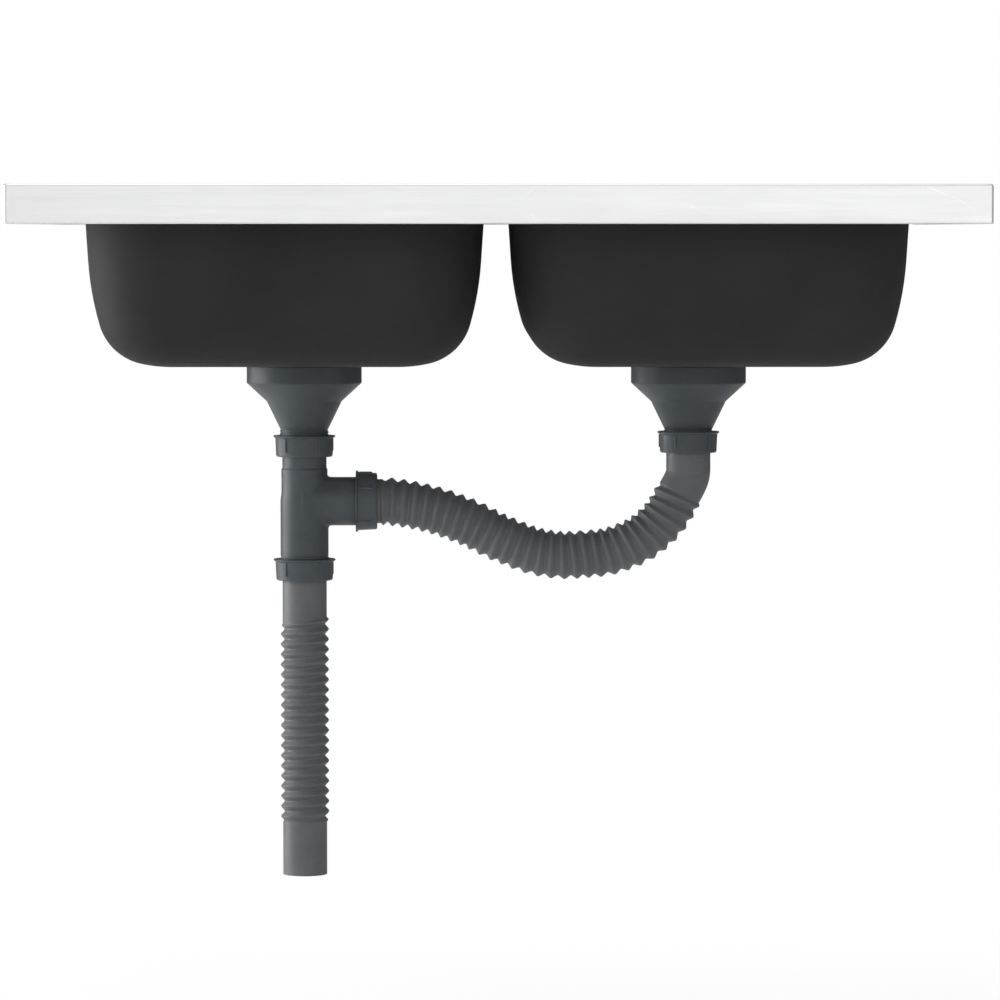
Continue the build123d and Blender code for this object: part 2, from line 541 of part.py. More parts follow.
# ---- write the sub-parts -----------------------------------------------------------------
os.makedirs("parts", exist_ok=True)
save("deck", deck())
for name, side in (("left", -1), ("right", 1)):
    bowl_place = Pos(side * BOWL_X, BOWL_Y, 0)
    drain_place = Pos(side * DRAIN_X, BOWL_Y, 0)
    save(f"{name}_bowl", bowl_place * bowl(-side * DRAIN_INBOARD))
    save(f"{name}_undercoat", bowl_place * undercoat(-side * DRAIN_INBOARD))
    save(f"{name}_strainer_flange", drain_place * strainer_flange())
    save(f"{name}_flange_seal",
         drain_place * ring(FLANGE_RADIUS - 1, WASTE_HOLE_RADIUS + 1, SEAT, SEAL_THICKNESS))
    save(f"{name}_body_gasket",
         drain_place * ring(BODY_RADIUS, BODY_RADIUS - BODY_WALL - 0.5, BODY_TOP, GASKET_THICKNESS))
    save(f"{name}_drain_body", drain_place * drain_body())
    save(f"{name}_clamp_screw", drain_place * clamp_screw())
    save(f"{name}_thread_insert",
         drain_place * ring(INSERT_RADIUS, SCREW_RADIUS + FIT, BOSS_TOP - INSERT_LENGTH, INSERT_LENGTH))
    save(f"{name}_basket", drain_place * basket())
    save(f"{name}_basket_seal",
         drain_place * ring(CUP_RADIUS - RIM_GAP - SEAL_INSET, BASKET_RADIUS + SEAL_GAP,
                            LEDGE_TOP + FIT, BASKET_SEAL - 2 * FIT))
    save(f"{name}_basket_knob", drain_place * basket_knob())

left_place = Pos(-DRAIN_X, BOWL_Y, LEFT_LIP)
right_place = Pos(DRAIN_X, BOWL_Y, RIGHT_LIP)
branch_place = Pos(BRANCH_LIP, BOWL_Y, BRANCH_Z) * Rot(0, -90, 0)
lower_place = Pos(-DRAIN_X, BOWL_Y, LOWER_LIP)
place_union(("left_union_nut", "left_slip_washer", "left_cone_seal"),
            left_place, LEFT_TURNS, LEFT_NUT_TURN)
place_union(("right_union_nut", "right_slip_washer", "right_cone_seal"),
            right_place, RIGHT_TURNS, RIGHT_NUT_TURN)
place_union(("branch_nut", "branch_slip_washer", "branch_cone_seal"),
            branch_place, BRANCH_TURNS, BRANCH_NUT_TURN)
place_union(("lower_nut", "lower_slip_washer", "lower_cone_seal"),
            lower_place, LOWER_TURNS, LOWER_NUT_TURN)
save("tee_pipe", Pos(-DRAIN_X, BOWL_Y, 0) * tee_pipe())
save("crossover_hose", crossover_hose())
save("outlet_hose", outlet_hose())
print("drain axes", DRAIN_X, BOWL_Y, "lips", LEFT_LIP, RIGHT_LIP, BRANCH_LIP, LOWER_LIP)
print("branch axis", BRANCH_Z, "mouths", NECK_MOUTH, BRANCH_MOUTH, LOWER_MOUTH)
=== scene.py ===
"""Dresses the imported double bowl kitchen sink: its skins, mouldings, finishes, light and camera.

Sizes are in millimetres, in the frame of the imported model: +Z up out of the bowls, +X to the
right seen from the front, +Y towards the wall. MM turns them into metres as a mesh is written.
"""

import logging
import math
from dataclasses import dataclass
from enum import Enum
from typing import Sequence

import bmesh
import bpy
from mathutils import Matrix, Vector


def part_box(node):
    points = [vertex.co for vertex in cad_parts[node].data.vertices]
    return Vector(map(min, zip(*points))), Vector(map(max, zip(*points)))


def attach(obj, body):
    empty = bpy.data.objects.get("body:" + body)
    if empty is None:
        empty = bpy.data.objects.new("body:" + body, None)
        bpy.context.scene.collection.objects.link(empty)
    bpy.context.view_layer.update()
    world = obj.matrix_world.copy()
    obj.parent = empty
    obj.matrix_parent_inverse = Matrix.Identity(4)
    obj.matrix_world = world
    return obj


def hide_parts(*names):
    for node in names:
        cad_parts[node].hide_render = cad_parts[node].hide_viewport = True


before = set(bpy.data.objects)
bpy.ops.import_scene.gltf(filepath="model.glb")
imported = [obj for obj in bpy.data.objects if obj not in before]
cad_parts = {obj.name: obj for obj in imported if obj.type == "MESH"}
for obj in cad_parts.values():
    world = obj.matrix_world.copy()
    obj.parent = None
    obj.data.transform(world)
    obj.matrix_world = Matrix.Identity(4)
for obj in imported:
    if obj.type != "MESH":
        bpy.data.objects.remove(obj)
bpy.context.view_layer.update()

LOG = logging.getLogger("sink")
MM = 0.001
ROUND = 128  # steps round a turned piece
MERGE = 1e-7  # metres
FRONT = (0.0, -1.0, 0.0)

Point = tuple[float, float, float]
Profile = list[tuple[float, float]]
Ring = list[Point]


def span(node: str) -> tuple[Vector, Vector]:
    """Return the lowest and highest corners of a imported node's box, in millimetres."""
    low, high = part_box(node)
    return Vector(low) / MM, Vector(high) / MM


def middle(node: str) -> Vector:
    """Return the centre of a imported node's box, in millimetres."""
    low, high = span(node)
    return (low + high) / 2


# ---- profiles and outlines ----
def rounded(points: Profile, radii: Sequence[float], closed: bool = False, steps: int = 6) -> Profile:
    """Round a line's corners, with a holding point beside each end of an arc.

    Args:
        points: corners of the line.
        radii: one radius for each corner, where 0 leaves it sharp.
        closed: whether the last corner joins the first.
        steps: parts of each arc.

    Returns:
        The points of the rounded line.
    """
    line: Profile = []
    count = len(points)
    for index, (corner, radius) in enumerate(zip(points, radii)):
        if radius <= 0 or (not closed and index in (0, count - 1)):
            line.append(corner)
            continue
        here = Vector(corner)
        before = Vector(points[index - 1]) - here
        after = Vector(points[(index + 1) % count]) - here
        half_turn = before.angle(after) / 2
        reach = min(radius / math.tan(half_turn), 0.48 * before.length, 0.48 * after.length)
        true_radius = reach * math.tan(half_turn)
        bisector = (before.normalized() + after.normalized()).normalized()
        centre = here + bisector * (true_radius / math.sin(half_turn))
        first = here + before.normalized() * reach
        last = here + after.normalized() * reach
        hold = 0.12 * reach
        line.append(tuple(first + before.normalized() * min(hold, before.length * 0.5 - reach)))
        start = first - centre
        sweep = start.angle_signed(last - centre)
        for step in range(steps + 1):
            turn = -sweep * step / steps
            spoke = Vector((start.x * math.cos(turn) - start.y * math.sin(turn),
                            start.x * math.sin(turn) + start.y * math.cos(turn)))
            line.append(tuple(centre + spoke))
        line.append(tuple(last + after.normalized() * min(hold, after.length * 0.5 - reach)))
    return line


def strip(line: Profile, gauge: float) -> Profile:
    """Return the closed outline of a strip of sheet, from its mid-line and its thickness."""
    one_side: Profile = []
    other_side: Profile = []
    for index, place in enumerate(line):
        before = Vector(line[max(index - 1, 0)])
        after = Vector(line[min(index + 1, len(line) - 1)])
        along = (after - before).normalized()
        across = Vector((-along.y, along.x)) * gauge / 2
        one_side.append(tuple(Vector(place) + across))
        other_side.append(tuple(Vector(place) - across))
    tip, tail = (tuple(Vector(end) + (Vector(end) - Vector(inner)).normalized() * gauge * 0.35)
                 for end, inner in ((line[-1], line[-2]), (line[0], line[1])))
    return one_side + [tip] + other_side[::-1] + [tail]


def circle(radius: float, level: float, steps: int, centre: tuple[float, float] = (0.0, 0.0)) -> Ring:
    """Return the points of a level circle."""
    turns = [2 * math.pi * step / steps for step in range(steps)]
    return [(centre[0] + radius * math.cos(turn), centre[1] + radius * math.sin(turn), level)
            for turn in turns]


def rounded_rectangle(half_x: float, half_y: float, corner: float,
                      corner_steps: int = 16, side_steps: int = 16) -> Profile:
    """Draw an outline with the same count of points whatever its size.

    Args:
        half_x: half its width.
        half_y: half its length.
        corner: radius of its corners.
        corner_steps: parts of each corner.
        side_steps: parts of each straight side.

    Returns:
        Its points, anticlockwise seen from above.
    """
    arcs: list[Profile] = []
    for quarter, (side_x, side_y) in enumerate(((1, 1), (-1, 1), (-1, -1), (1, -1))):
        centre_x = side_x * (half_x - corner)
        centre_y = side_y * (half_y - corner)
        turns = [math.radians(90 * (quarter + step / corner_steps)) for step in range(corner_steps + 1)]
        arcs.append([(centre_x + corner * math.cos(turn), centre_y + corner * math.sin(turn))
                     for turn in turns])
    points: Profile = []
    for arc, following in zip(arcs, arcs[1:] + arcs[:1]):
        points += arc
        start = Vector(arc[-1])
        end = Vector(following[0])
        points += [tuple(start.lerp(end, step / side_steps)) for step in range(1, side_steps)]
    return points


# ---- meshes ----
class Draft:
    """A mesh that is being drawn, in millimetres."""

    def __init__(self) -> None:
        """Start an empty mesh."""
        self.mesh = bmesh.new()

    def bridge(self, first: list, second: list) -> None:
        """Join two closed rings of the same count with four-sided faces."""
        for corners in zip(first, first[1:] + first[:1], second[1:] + second[:1], second):
            self.mesh.faces.new(corners)

    def skin(self, rings: Sequence[Sequence[Point]], closed: bool, place: Matrix = Matrix()) -> list:
        """Loft a skin through closed rings.

        Args:
            rings: the rings, in order, with the same count of points each.
            closed: whether the last ring joins the first.
            place: moves the skin.

        Returns:
            The vertices of each ring.
        """
        made = [[self.mesh.verts.new(place @ Vector(point)) for point in ring] for ring in rings]
        for first, second in zip(made, made[1:]):
            self.bridge(first, second)
        if closed:
            self.bridge(made[-1], made[0])
        return made

    def lathe(self, profile: Profile, place: Matrix, steps: int = ROUND) -> None:
        """Turn a closed profile of (radius, height) about an upright axis, and move the piece."""
        self.skin([circle(radius, height, steps) for radius, height in profile], closed=True, place=place)

    def block(self, low_ends: Sequence[Point], high_ends: Sequence[Point], place: Matrix) -> None:
        """Add a closed block between a lower and an upper outline with the same count of points."""
        for end in self.skin((low_ends, high_ends), closed=False, place=place):
            self.mesh.faces.new(end)

    def take(self, piece: bpy.types.Object, place: Matrix = Matrix()) -> None:
        """Take in a finished piece's mesh, moved by `place` in millimetres, and remove the piece."""
        mesh = piece.data
        mesh.transform(place @ Matrix.Scale(1 / MM, 4))
        self.mesh.from_mesh(mesh)
        bpy.data.objects.remove(piece)
        bpy.data.meshes.remove(mesh)

    def finish(self, name: str, finish: "Finish", sharp: float = 32.0,
               outward: bool = True) -> bpy.types.Object:
        """Turn the drawing into an object in metres.

        Args:
            name: name of the piece.
            finish: its material.
            sharp: degrees past which an edge stays sharp.
            outward: whether to turn its faces outwards.

        Returns:
            The new object, at the origin.
        """
        bmesh.ops.scale(self.mesh, vec=(MM, MM, MM), verts=self.mesh.verts)
        bmesh.ops.remove_doubles(self.mesh, verts=self.mesh.verts, dist=MERGE)
        if outward:
            bmesh.ops.recalc_face_normals(self.mesh, faces=self.mesh.faces)
        data = bpy.data.meshes.new(name)
        self.mesh.to_mesh(data)
        self.mesh.free()
        data.materials.append(finish.material())
        smooth(data, sharp)
        return link(name, data)


def link(name: str, data: bpy.types.ID) -> bpy.types.Object:
    """Put data into the scene as an object."""
    made = bpy.data.objects.new(name, data)
    bpy.context.collection.objects.link(made)
    return made


def smooth(data: bpy.types.Mesh, sharp: float) -> None:
    """Shade a mesh smooth, apart from edges past `sharp` degrees."""
    data.shade_smooth()
    data.set_sharp_from_angle(angle=math.radians(sharp))


def settle(piece: bpy.types.Object, sharp: float) -> bpy.types.Object:
    """Make a piece's modifiers part of its mesh, shade it smooth, and return it."""
    evaluated = piece.evaluated_get(bpy.context.evaluated_depsgraph_get())
    data = bpy.data.meshes.new_from_object(evaluated)
    old = piece.data
    piece.modifiers.clear()
    piece.data = data
    bpy.data.meshes.remove(old)
    smooth(data, sharp)
    return piece


def wall(piece: bpy.types.Object, gauge: float, sharp: float) -> bpy.types.Object:
    """Give a skin its thickness in millimetres, inside its faces, and return the closed shell."""
    solid = piece.modifiers.new("wall", "SOLIDIFY")
    solid.thickness = gauge * MM
    solid.offset = -1.0
    solid.use_even_offset = True
    return settle(piece, sharp)


def run(piece: bpy.types.Object, kind: "type[GeometryTree]", finish: "Finish", sharp: float = 32.0,
        **values: object) -> bpy.types.Object:
    """Run a geometry tree on a piece and keep the result as its mesh.

    Args:
        piece: the piece.
        kind: the geometry tree.
        finish: the material that the tree sets.
        sharp: degrees past which an edge stays sharp.
        values: the tree's inputs in metres, with _ for a space in a name.

    Returns:
        The same piece, with no modifier.
    """
    tree = kind.tree()
    modifier = piece.modifiers.new(tree.name, "NODES")
    modifier.node_group = tree
    named = {name.replace("_", " "): value for name, value in values.items()}
    named["Finish"] = finish.material()
    for item in tree.interface.items_tree:
        if item.name in named:
            modifier[item.identifier] = named[item.name]
    return settle(piece, sharp)


def seed_mesh(name: str, points: Sequence[Point] = (),
              edges: Sequence[tuple[int, int]] = ()) -> bpy.types.Object:
    """Make the object that a geometry tree starts from, with points in metres joined in pairs."""
    data = bpy.data.meshes.new(name)
    data.from_pydata(points, edges, [])
    return link(name, data)


# ---- node trees ----
FLOAT = "NodeSocketFloat"
VECTOR = "NodeSocketVector"
INTEGER = "NodeSocketInt"
GEOMETRY = "NodeSocketGeometry"
BOOLEAN = "NodeSocketBool"
GIVEN = {"Geometry": GEOMETRY}
DRESS = {"Finish": "NodeSocketMaterial"}


class Signal:
    """What comes out of a socket, with sums written as for a number."""

    def __init__(self, nodes: "Nodes", socket: bpy.types.NodeSocket) -> None:
        """Take a socket of a tree."""
        self.nodes = nodes
        self.socket = socket

    def __add__(self, other: object) -> "Signal":
        """Return the sum."""
        return self.nodes.math("ADD", self, other)

    def __sub__(self, other: object) -> "Signal":
        """Return the difference."""
        return self.nodes.math("SUBTRACT", self, other)

    def __rsub__(self, other: object) -> "Signal":
        """Return a number less this one."""
        return self.nodes.math("SUBTRACT", other, self)

    def __mul__(self, other: object) -> "Signal":
        """Return the product."""
        return self.nodes.math("MULTIPLY", self, other)

    def __truediv__(self, other: object) -> "Signal":
        """Return the quotient."""
        return self.nodes.math("DIVIDE", self, other)

    def __abs__(self) -> "Signal":
        """Return the size without its sign."""
        return self.nodes.math("ABSOLUTE", self)

    __radd__ = __add__
    __rmul__ = __mul__


class Nodes:
    """Adds nodes to a tree and joins their sockets."""

    def __init__(self, tree: bpy.types.NodeTree) -> None:
        """Work on `tree`."""
        self.tree = tree

    def feed(self, socket: bpy.types.NodeSocket, value: object) -> None:
        """Link a socket to a signal, or set its value."""
        if isinstance(value, Signal):
            self.tree.links.new(value.socket, socket)
        else:
            socket.default_value = value

    def add(self, kind: str, inputs: dict | None = None, **settings: object) -> bpy.types.Node:
        """Add a node.

        Args:
            kind: its type.
            inputs: values or signals for its inputs, by name or index.
            settings: its own properties.

        Returns:
            The node.
        """
        node = self.tree.nodes.new(kind)
        for name, value in settings.items():
            setattr(node, name, value)
        for key, value in (inputs or {}).items():
            self.feed(node.inputs[key], value)
        return node

    def out(self, kind: str, inputs: dict | None = None, output: int | str = 0, **settings: object) -> Signal:
        """Add a node and return one of its outputs."""
        return Signal(self, self.add(kind, inputs, **settings).outputs[output])

    def math(self, operation: str, *values: object) -> Signal:
        """Return a sum of numbers."""
        return self.out("ShaderNodeMath", dict(enumerate(values)), operation=operation)

    def vector(self, operation: str, *values: object) -> Signal:
        """Return a sum of vectors."""
        return self.out("ShaderNodeVectorMath", dict(enumerate(values)), operation=operation)

    def scaled(self, vector: object, amount: object) -> Signal:
        """Return a vector times a number."""
        return self.out("ShaderNodeVectorMath", {0: vector, "Scale": amount}, operation="SCALE")

    def length(self, vector: object) -> Signal:
        """Return the length of a vector."""
        return self.out("ShaderNodeVectorMath", {0: vector}, "Value", operation="LENGTH")

    def ramp(self, value: object, low: object, high: object, to_low: object, to_high: object,
             ease: str = "LINEAR") -> Signal:
        """Carry a value from one range to another, held at both ends.

        Args:
            value: the value.
            low: start of its range.
            high: end of its range.
            to_low: result at the start.
            to_high: result at the end.
            ease: how it runs between them.

        Returns:
            The result.
        """
        names = ("Value", "From Min", "From Max", "To Min", "To Max")
        return self.out("ShaderNodeMapRange", dict(zip(names, (value, low, high, to_low, to_high))), "Result",
                        interpolation_type=ease, clamp=True)

    def tint(self, amount: object, first: object, second: object) -> Signal:
        """Mix two colours by an amount."""
        return self.out("ShaderNodeMix", {0: amount, 6: first, 7: second}, 2, data_type="RGBA",
                        clamp_factor=True)

    def noise(self, where: object, scale: object, detail: float = 2.0, rough: float = 0.5) -> Signal:
        """Return a noise's value, from 0 to 1."""
        return self.out("ShaderNodeTexNoise", {"Vector": where, "Scale": scale, "Detail": detail,
                                               "Roughness": rough})

    def split(self, vector: object) -> list[Signal]:
        """Return the three parts of a vector."""
        return [Signal(self, part) for part in self.add("ShaderNodeSeparateXYZ", {0: vector}).outputs]

    def combine(self, x: object, y: object, z: object) -> Signal:
        """Return a vector from its three parts."""
        return self.out("ShaderNodeCombineXYZ", {0: x, 1: y, 2: z})

    def moved(self, geometry: Signal, by: Signal, **others: object) -> Signal:
        """Return a geometry moved by a vector, and turned where `others` has a Rotation."""
        return self.out("GeometryNodeTransform", {"Geometry": geometry, "Translation": by, **others})

    def about(self, radius: Signal, count: Signal, piece: Signal) -> Signal:
        """Return copies of a piece on a circle, each turned outwards."""
        points = self.out("GeometryNodeMeshCircle", {"Vertices": count, "Radius": radius})
        turn = self.combine(0.0, 0.0, self.out("GeometryNodeInputIndex") / count * (2 * math.pi))
        return self.out("GeometryNodeInstanceOnPoints", {"Points": points, "Instance": piece,
                                                         "Rotation": turn})


class Grouped:
    """A node group that is built once and then placed by its name."""

    label = "group"
    kind = "ShaderNodeTree"
    result = FLOAT
    inputs: dict[str, str] = {}
    outputs: tuple[str, ...] = ("Mask",)

    @classmethod
    def tree(cls) -> bpy.types.NodeTree:
        """Return the group, built on its first use."""
        found = bpy.data.node_groups.get(cls.label)
        if found:
            return found
        tree = bpy.data.node_groups.new(cls.label, cls.kind)
        for name, kind in cls.inputs.items():
            tree.interface.new_socket(name, in_out="INPUT", socket_type=kind)
        for name in cls.outputs:
            tree.interface.new_socket(name, in_out="OUTPUT", socket_type=cls.result)
        nodes = Nodes(tree)
        entry = nodes.add("NodeGroupInput").outputs
        leave = nodes.add("NodeGroupOutput").inputs
        given = [Signal(nodes, socket) for _, socket in zip(cls.inputs, entry)]
        for socket, value in zip(leave, cls.wire(nodes, *given)):
            nodes.feed(socket, value)
        return tree

    @classmethod
    def wire(cls, nodes: Nodes, *given: Signal) -> tuple[Signal, ...]:
        """Draw the group's inside.

        Args:
            nodes: its nodes.
            given: its inputs, in order.

        Returns:
            Its outputs, in order.
        """
        raise NotImplementedError

    @classmethod
    def place(cls, nodes: Nodes, *values: object) -> Signal | list[Signal]:
        """Place the group in a material.

        Args:
            nodes: the material's nodes.
            values: the group's inputs, in order.

        Returns:
            The group's output, or a list where it has several.
        """
        group = nodes.add("ShaderNodeGroup", dict(enumerate(values)), node_tree=cls.tree())
        made = [Signal(nodes, socket) for socket in group.outputs]
        return made if len(made) > 1 else made[0]


# ---- effects that several finishes share ----
class BrushedGrain(Grouped):
    """Fine lines drawn out along X, as a belt leaves them."""

    label = "brushed grain"
    inputs = {"Where": VECTOR, "Fineness": FLOAT, "Stretch": FLOAT}
    outputs = ("Tone", "Height")

    @staticmethod
    def wire(nodes: Nodes, where: Signal, fineness: Signal, stretch: Signal) -> tuple[Signal, ...]:
        """Draw the group's inside."""
        x, y, z = nodes.split(where)
        drawn = nodes.combine(x / stretch, y, z)
        lines = nodes.noise(drawn, fineness, 3.0, 0.65)
        broad = nodes.noise(drawn, fineness * 0.22)
        return nodes.ramp(lines * 0.6 + broad * 0.4, 0.32, 0.68, 0.0, 1.0), lines


class Mottle(Grouped):
    """Soft cloudy variation of a surface."""

    label = "mottle"
    inputs = {"Where": VECTOR, "Scale": FLOAT, "Spread": FLOAT}

    @staticmethod
    def wire(nodes: Nodes, where: Signal, scale: Signal, spread: Signal) -> tuple[Signal, ...]:
        """Draw the group's inside."""
        cloud = nodes.noise(where, scale, 4.0, 0.55)
        return (nodes.ramp(cloud, 0.5 - spread, 0.5 + spread, 0.0, 1.0, "SMOOTHSTEP"),)


class EdgeWear(Grouped):
    """Edges that handling has rubbed bright, broken up by noise."""

    label = "edge wear"
    inputs = {"Where": VECTOR, "Scale": FLOAT}

    @staticmethod
    def wire(nodes: Nodes, where: Signal, scale: Signal) -> tuple[Signal, ...]:
        """Draw the group's inside."""
        bend = nodes.out("ShaderNodeNewGeometry", output="Pointiness")
        edge = nodes.ramp(bend, 0.52, 0.62, 0.0, 1.0, "SMOOTHSTEP")
        return (edge * nodes.ramp(nodes.noise(where, scale, 4.0, 0.6), 0.38, 0.6, 0.25, 1.0),)


class Dust(Grouped):
    """Thin dust on what faces up."""

    label = "dust"
    inputs = {"Where": VECTOR, "Scale": FLOAT, "Amount": FLOAT}

    @staticmethod
    def wire(nodes: Nodes, where: Signal, scale: Signal, amount: Signal) -> tuple[Signal, ...]:
        """Draw the group's inside."""
        facing = nodes.split(nodes.out("ShaderNodeTexCoord", output="Normal"))[2]
        up = nodes.ramp(facing, 0.25, 0.95, 0.0, 1.0, "SMOOTHSTEP")
        return (up * nodes.ramp(nodes.noise(where, scale, 5.0, 0.6), 0.35, 0.7, 0.3, 1.0) * amount,)


class Scratches(Grouped):
    """Hair-fine scratches that come and go."""

    label = "scratches"
    inputs = {"Where": VECTOR, "Scale": FLOAT, "Width": FLOAT}

    @staticmethod
    def wire(nodes: Nodes, where: Signal, scale: Signal, width: Signal) -> tuple[Signal, ...]:
        """Draw the group's inside."""
        bent = nodes.scaled(nodes.out("ShaderNodeTexNoise", {"Vector": where, "Scale": 6.0}, 1), 0.12)
        moved = nodes.vector("ADD", where, bent)
        cells = nodes.out("ShaderNodeTexVoronoi", {"Vector": moved, "Scale": scale}, "Distance",
                          feature="DISTANCE_TO_EDGE")
        gate = nodes.ramp(nodes.noise(where, scale * 0.8, 3.0), 0.52, 0.6, 0.0, 1.0)
        return (nodes.ramp(cells, 0.0, width, 1.0, 0.0) * gate,)


class SpinMarks(Grouped):
    """Fine rings about an upright axis and its mirror image, as on spun or turned metal."""

    label = "spin marks"
    inputs = {"Where": VECTOR, "Axis": VECTOR, "Fineness": FLOAT}

    @staticmethod
    def wire(nodes: Nodes, where: Signal, axis: Signal, fineness: Signal) -> tuple[Signal, ...]:
        """Draw the group's inside."""
        x, y, z = nodes.split(where)
        radius = nodes.length(nodes.vector("SUBTRACT", nodes.combine(abs(x), y, 0.0), axis))
        rings = nodes.noise(nodes.combine(radius, 0.0, z), fineness, 2.0, 0.6)
        return (nodes.ramp(rings, 0.3, 0.7, 0.0, 1.0),)


# ---- finishes ----
Colour = tuple[float, float, float]


@dataclass(frozen=True)
class Finish:
    """A material that is built once, under its own name."""

    name: str
    colour: Colour

    def material(self) -> bpy.types.Material:
        """Return the material, built on its first use."""
        found = bpy.data.materials.get(self.name)
        if found:
            return found
        made = bpy.data.materials.new(self.name)
        made.use_nodes = True
        made.node_tree.nodes.clear()
        nodes = Nodes(made.node_tree)
        nodes.add("ShaderNodeOutputMaterial", {"Surface": self.surface(nodes)})
        return made

    def surface(self, nodes: Nodes) -> Signal:
        """Return the material's shader."""
        where = nodes.out("ShaderNodeTexCoord", output="Object")
        return nodes.out("ShaderNodeBsdfPrincipled", self.dress(nodes, where))

    def dress(self, nodes: Nodes, where: Signal) -> dict[str, object]:
        """Work out the shader's inputs.

        Args:
            nodes: the material's nodes.
            where: object coordinates.

        Returns:
            The inputs of the Principled shader, by name.
        """
        raise NotImplementedError

    def shade(self, share: float = 1.0, colour: Colour | None = None) -> tuple[float, float, float, float]:
        """Return the finish's own or another colour times a share, with its alpha."""
        red, green, blue = (min(part * share, 1.0) for part in colour or self.colour)
        return red, green, blue, 1.0

    def relief(self, nodes: Nodes, height: Signal, depth: float = 1.0) -> Signal:
        """Return the normal of a surface raised by a height map, whose depth is in millimetres."""
        return nodes.out("ShaderNodeBump", {"Height": height, "Distance": depth * MM, "Strength": 1.0})


@dataclass(frozen=True)
class SatinSteel(Finish):
    """Stainless sheet with a satin belt finish."""

    rough_low: float = 0.27
    rough_high: float = 0.37
    fineness: float = 900.0
    stretch: float = 45.0
    waviness: float = 0.9  # millimetres

    def dress(self, nodes: Nodes, where: Signal) -> dict[str, object]:
        """Return the shader's inputs."""
        tone, lines = BrushedGrain.place(nodes, where, self.fineness, self.stretch)
        marks = Scratches.place(nodes, where, 9.0, 0.004)
        cloud = Mottle.place(nodes, where, 7.0, 0.25)
        steel = nodes.tint(tone, self.shade(0.955), self.shade(1.035))
        rough = nodes.ramp(tone, 0.0, 1.0, self.rough_high, self.rough_low)
        height = nodes.noise(where, 5.5, 1.0) * self.waviness + lines * 0.012 - marks * 0.006
        return {"Base Color": nodes.tint(cloud * 0.35, steel, self.shade(0.975)), "Metallic": 1.0,
                "Roughness": rough + cloud * 0.03 - marks * 0.1, "Normal": self.relief(nodes, height)}


@dataclass(frozen=True)
class SpunSteel(Finish):
    """Polished pressed steel with faint rings from its spinning."""

    axis: Point  # metres
    rough_low: float = 0.10
    rough_high: float = 0.20

    def dress(self, nodes: Nodes, where: Signal) -> dict[str, object]:
        """Return the shader's inputs."""
        rings = SpinMarks.place(nodes, where, self.axis, 1500.0)
        marks = Scratches.place(nodes, where, 60.0, 0.01)
        cloud = Mottle.place(nodes, where, 60.0, 0.2)
        rough = nodes.ramp(rings, 0.0, 1.0, self.rough_low, self.rough_high)
        return {"Base Color": nodes.tint(cloud, self.shade(0.96), self.shade(1.03)), "Metallic": 1.0,
                "Roughness": rough + marks * 0.15 + cloud * 0.04, "Normal": self.relief(nodes, rings, 0.006)}


@dataclass(frozen=True)
class SprayedCoat(Finish):
    """Dark sound-deadening coat, sprayed on and left matt."""

    rough: float = 0.58
    gloss: float = 0.08
    grain: float = 900.0
    dust: Colour = (0.2, 0.19, 0.18)

    def dress(self, nodes: Nodes, where: Signal) -> dict[str, object]:
        """Return the shader's inputs."""
        fine = nodes.noise(where, self.grain, 3.0, 0.6)
        orange = nodes.noise(where, self.grain * 0.28)
        cloud = Mottle.place(nodes, where, 11.0, 0.28)
        coat = nodes.tint(cloud, self.shade(0.9), self.shade(1.14))
        coat = nodes.tint(nodes.ramp(fine, 0.55, 0.75, 0.0, 0.3), coat, self.shade(1.6))
        dusty = Dust.place(nodes, where, 20.0, 0.25)
        rough = nodes.ramp(fine, 0.3, 0.7, self.rough - 0.06, self.rough + 0.08)
        return {"Base Color": nodes.tint(dusty, coat, self.shade(colour=self.dust)),
                "Specular IOR Level": self.gloss, "Roughness": rough + cloud * 0.06,
                "Normal": self.relief(nodes, fine * 0.035 + orange * 0.10)}


@dataclass(frozen=True)
class MouldedPlastic(Finish):
    """Moulded plastic with a fine mould grain, rubbed edges and a little dust."""

    rough: float = 0.4
    gloss: float = 0.2
    grain_depth: float = 0.02  # millimetres
    wear: float = 0.5
    dust: float = 0.2
    dust_colour: Colour = (0.32, 0.31, 0.29)

    def dress(self, nodes: Nodes, where: Signal) -> dict[str, object]:
        """Return the shader's inputs."""
        cloud = Mottle.place(nodes, where, 38.0, 0.25)
        fine = nodes.noise(where, 1600.0, 2.0, 0.6)
        flow = nodes.noise(where, 95.0, 3.0)
        dusty = Dust.place(nodes, where, 70.0, self.dust)
        marks = Scratches.place(nodes, where, 50.0, 0.008)
        bright = nodes.math("MAXIMUM", EdgeWear.place(nodes, where, 160.0), marks) * self.wear
        plastic = nodes.tint(cloud, self.shade(0.92), self.shade(1.08))
        plastic = nodes.tint(bright, plastic, self.shade(1.7))
        rough = nodes.ramp(flow, 0.3, 0.7, self.rough - 0.05, self.rough + 0.06)
        return {"Base Color": nodes.tint(dusty, plastic, self.shade(colour=self.dust_colour)),
                "Specular IOR Level": self.gloss, "Roughness": rough + dusty * 0.3 - bright * 0.06,
                "Normal": self.relief(nodes, fine * self.grain_depth + flow * 0.06)}


@dataclass(frozen=True)
class Rubber(Finish):
    """Black rubber, matt, with bloom on it."""

    def dress(self, nodes: Nodes, where: Signal) -> dict[str, object]:
        """Return the shader's inputs."""
        bloom = Mottle.place(nodes, where, 90.0, 0.16)
        fine = nodes.noise(where, 2200.0, 2.0, 0.6)
        return {"Base Color": nodes.tint(bloom, self.shade(0.8), self.shade(1.8)),
                "Roughness": nodes.ramp(bloom, 0.0, 1.0, 0.6, 0.82), "Normal": self.relief(nodes, fine, 0.02)}


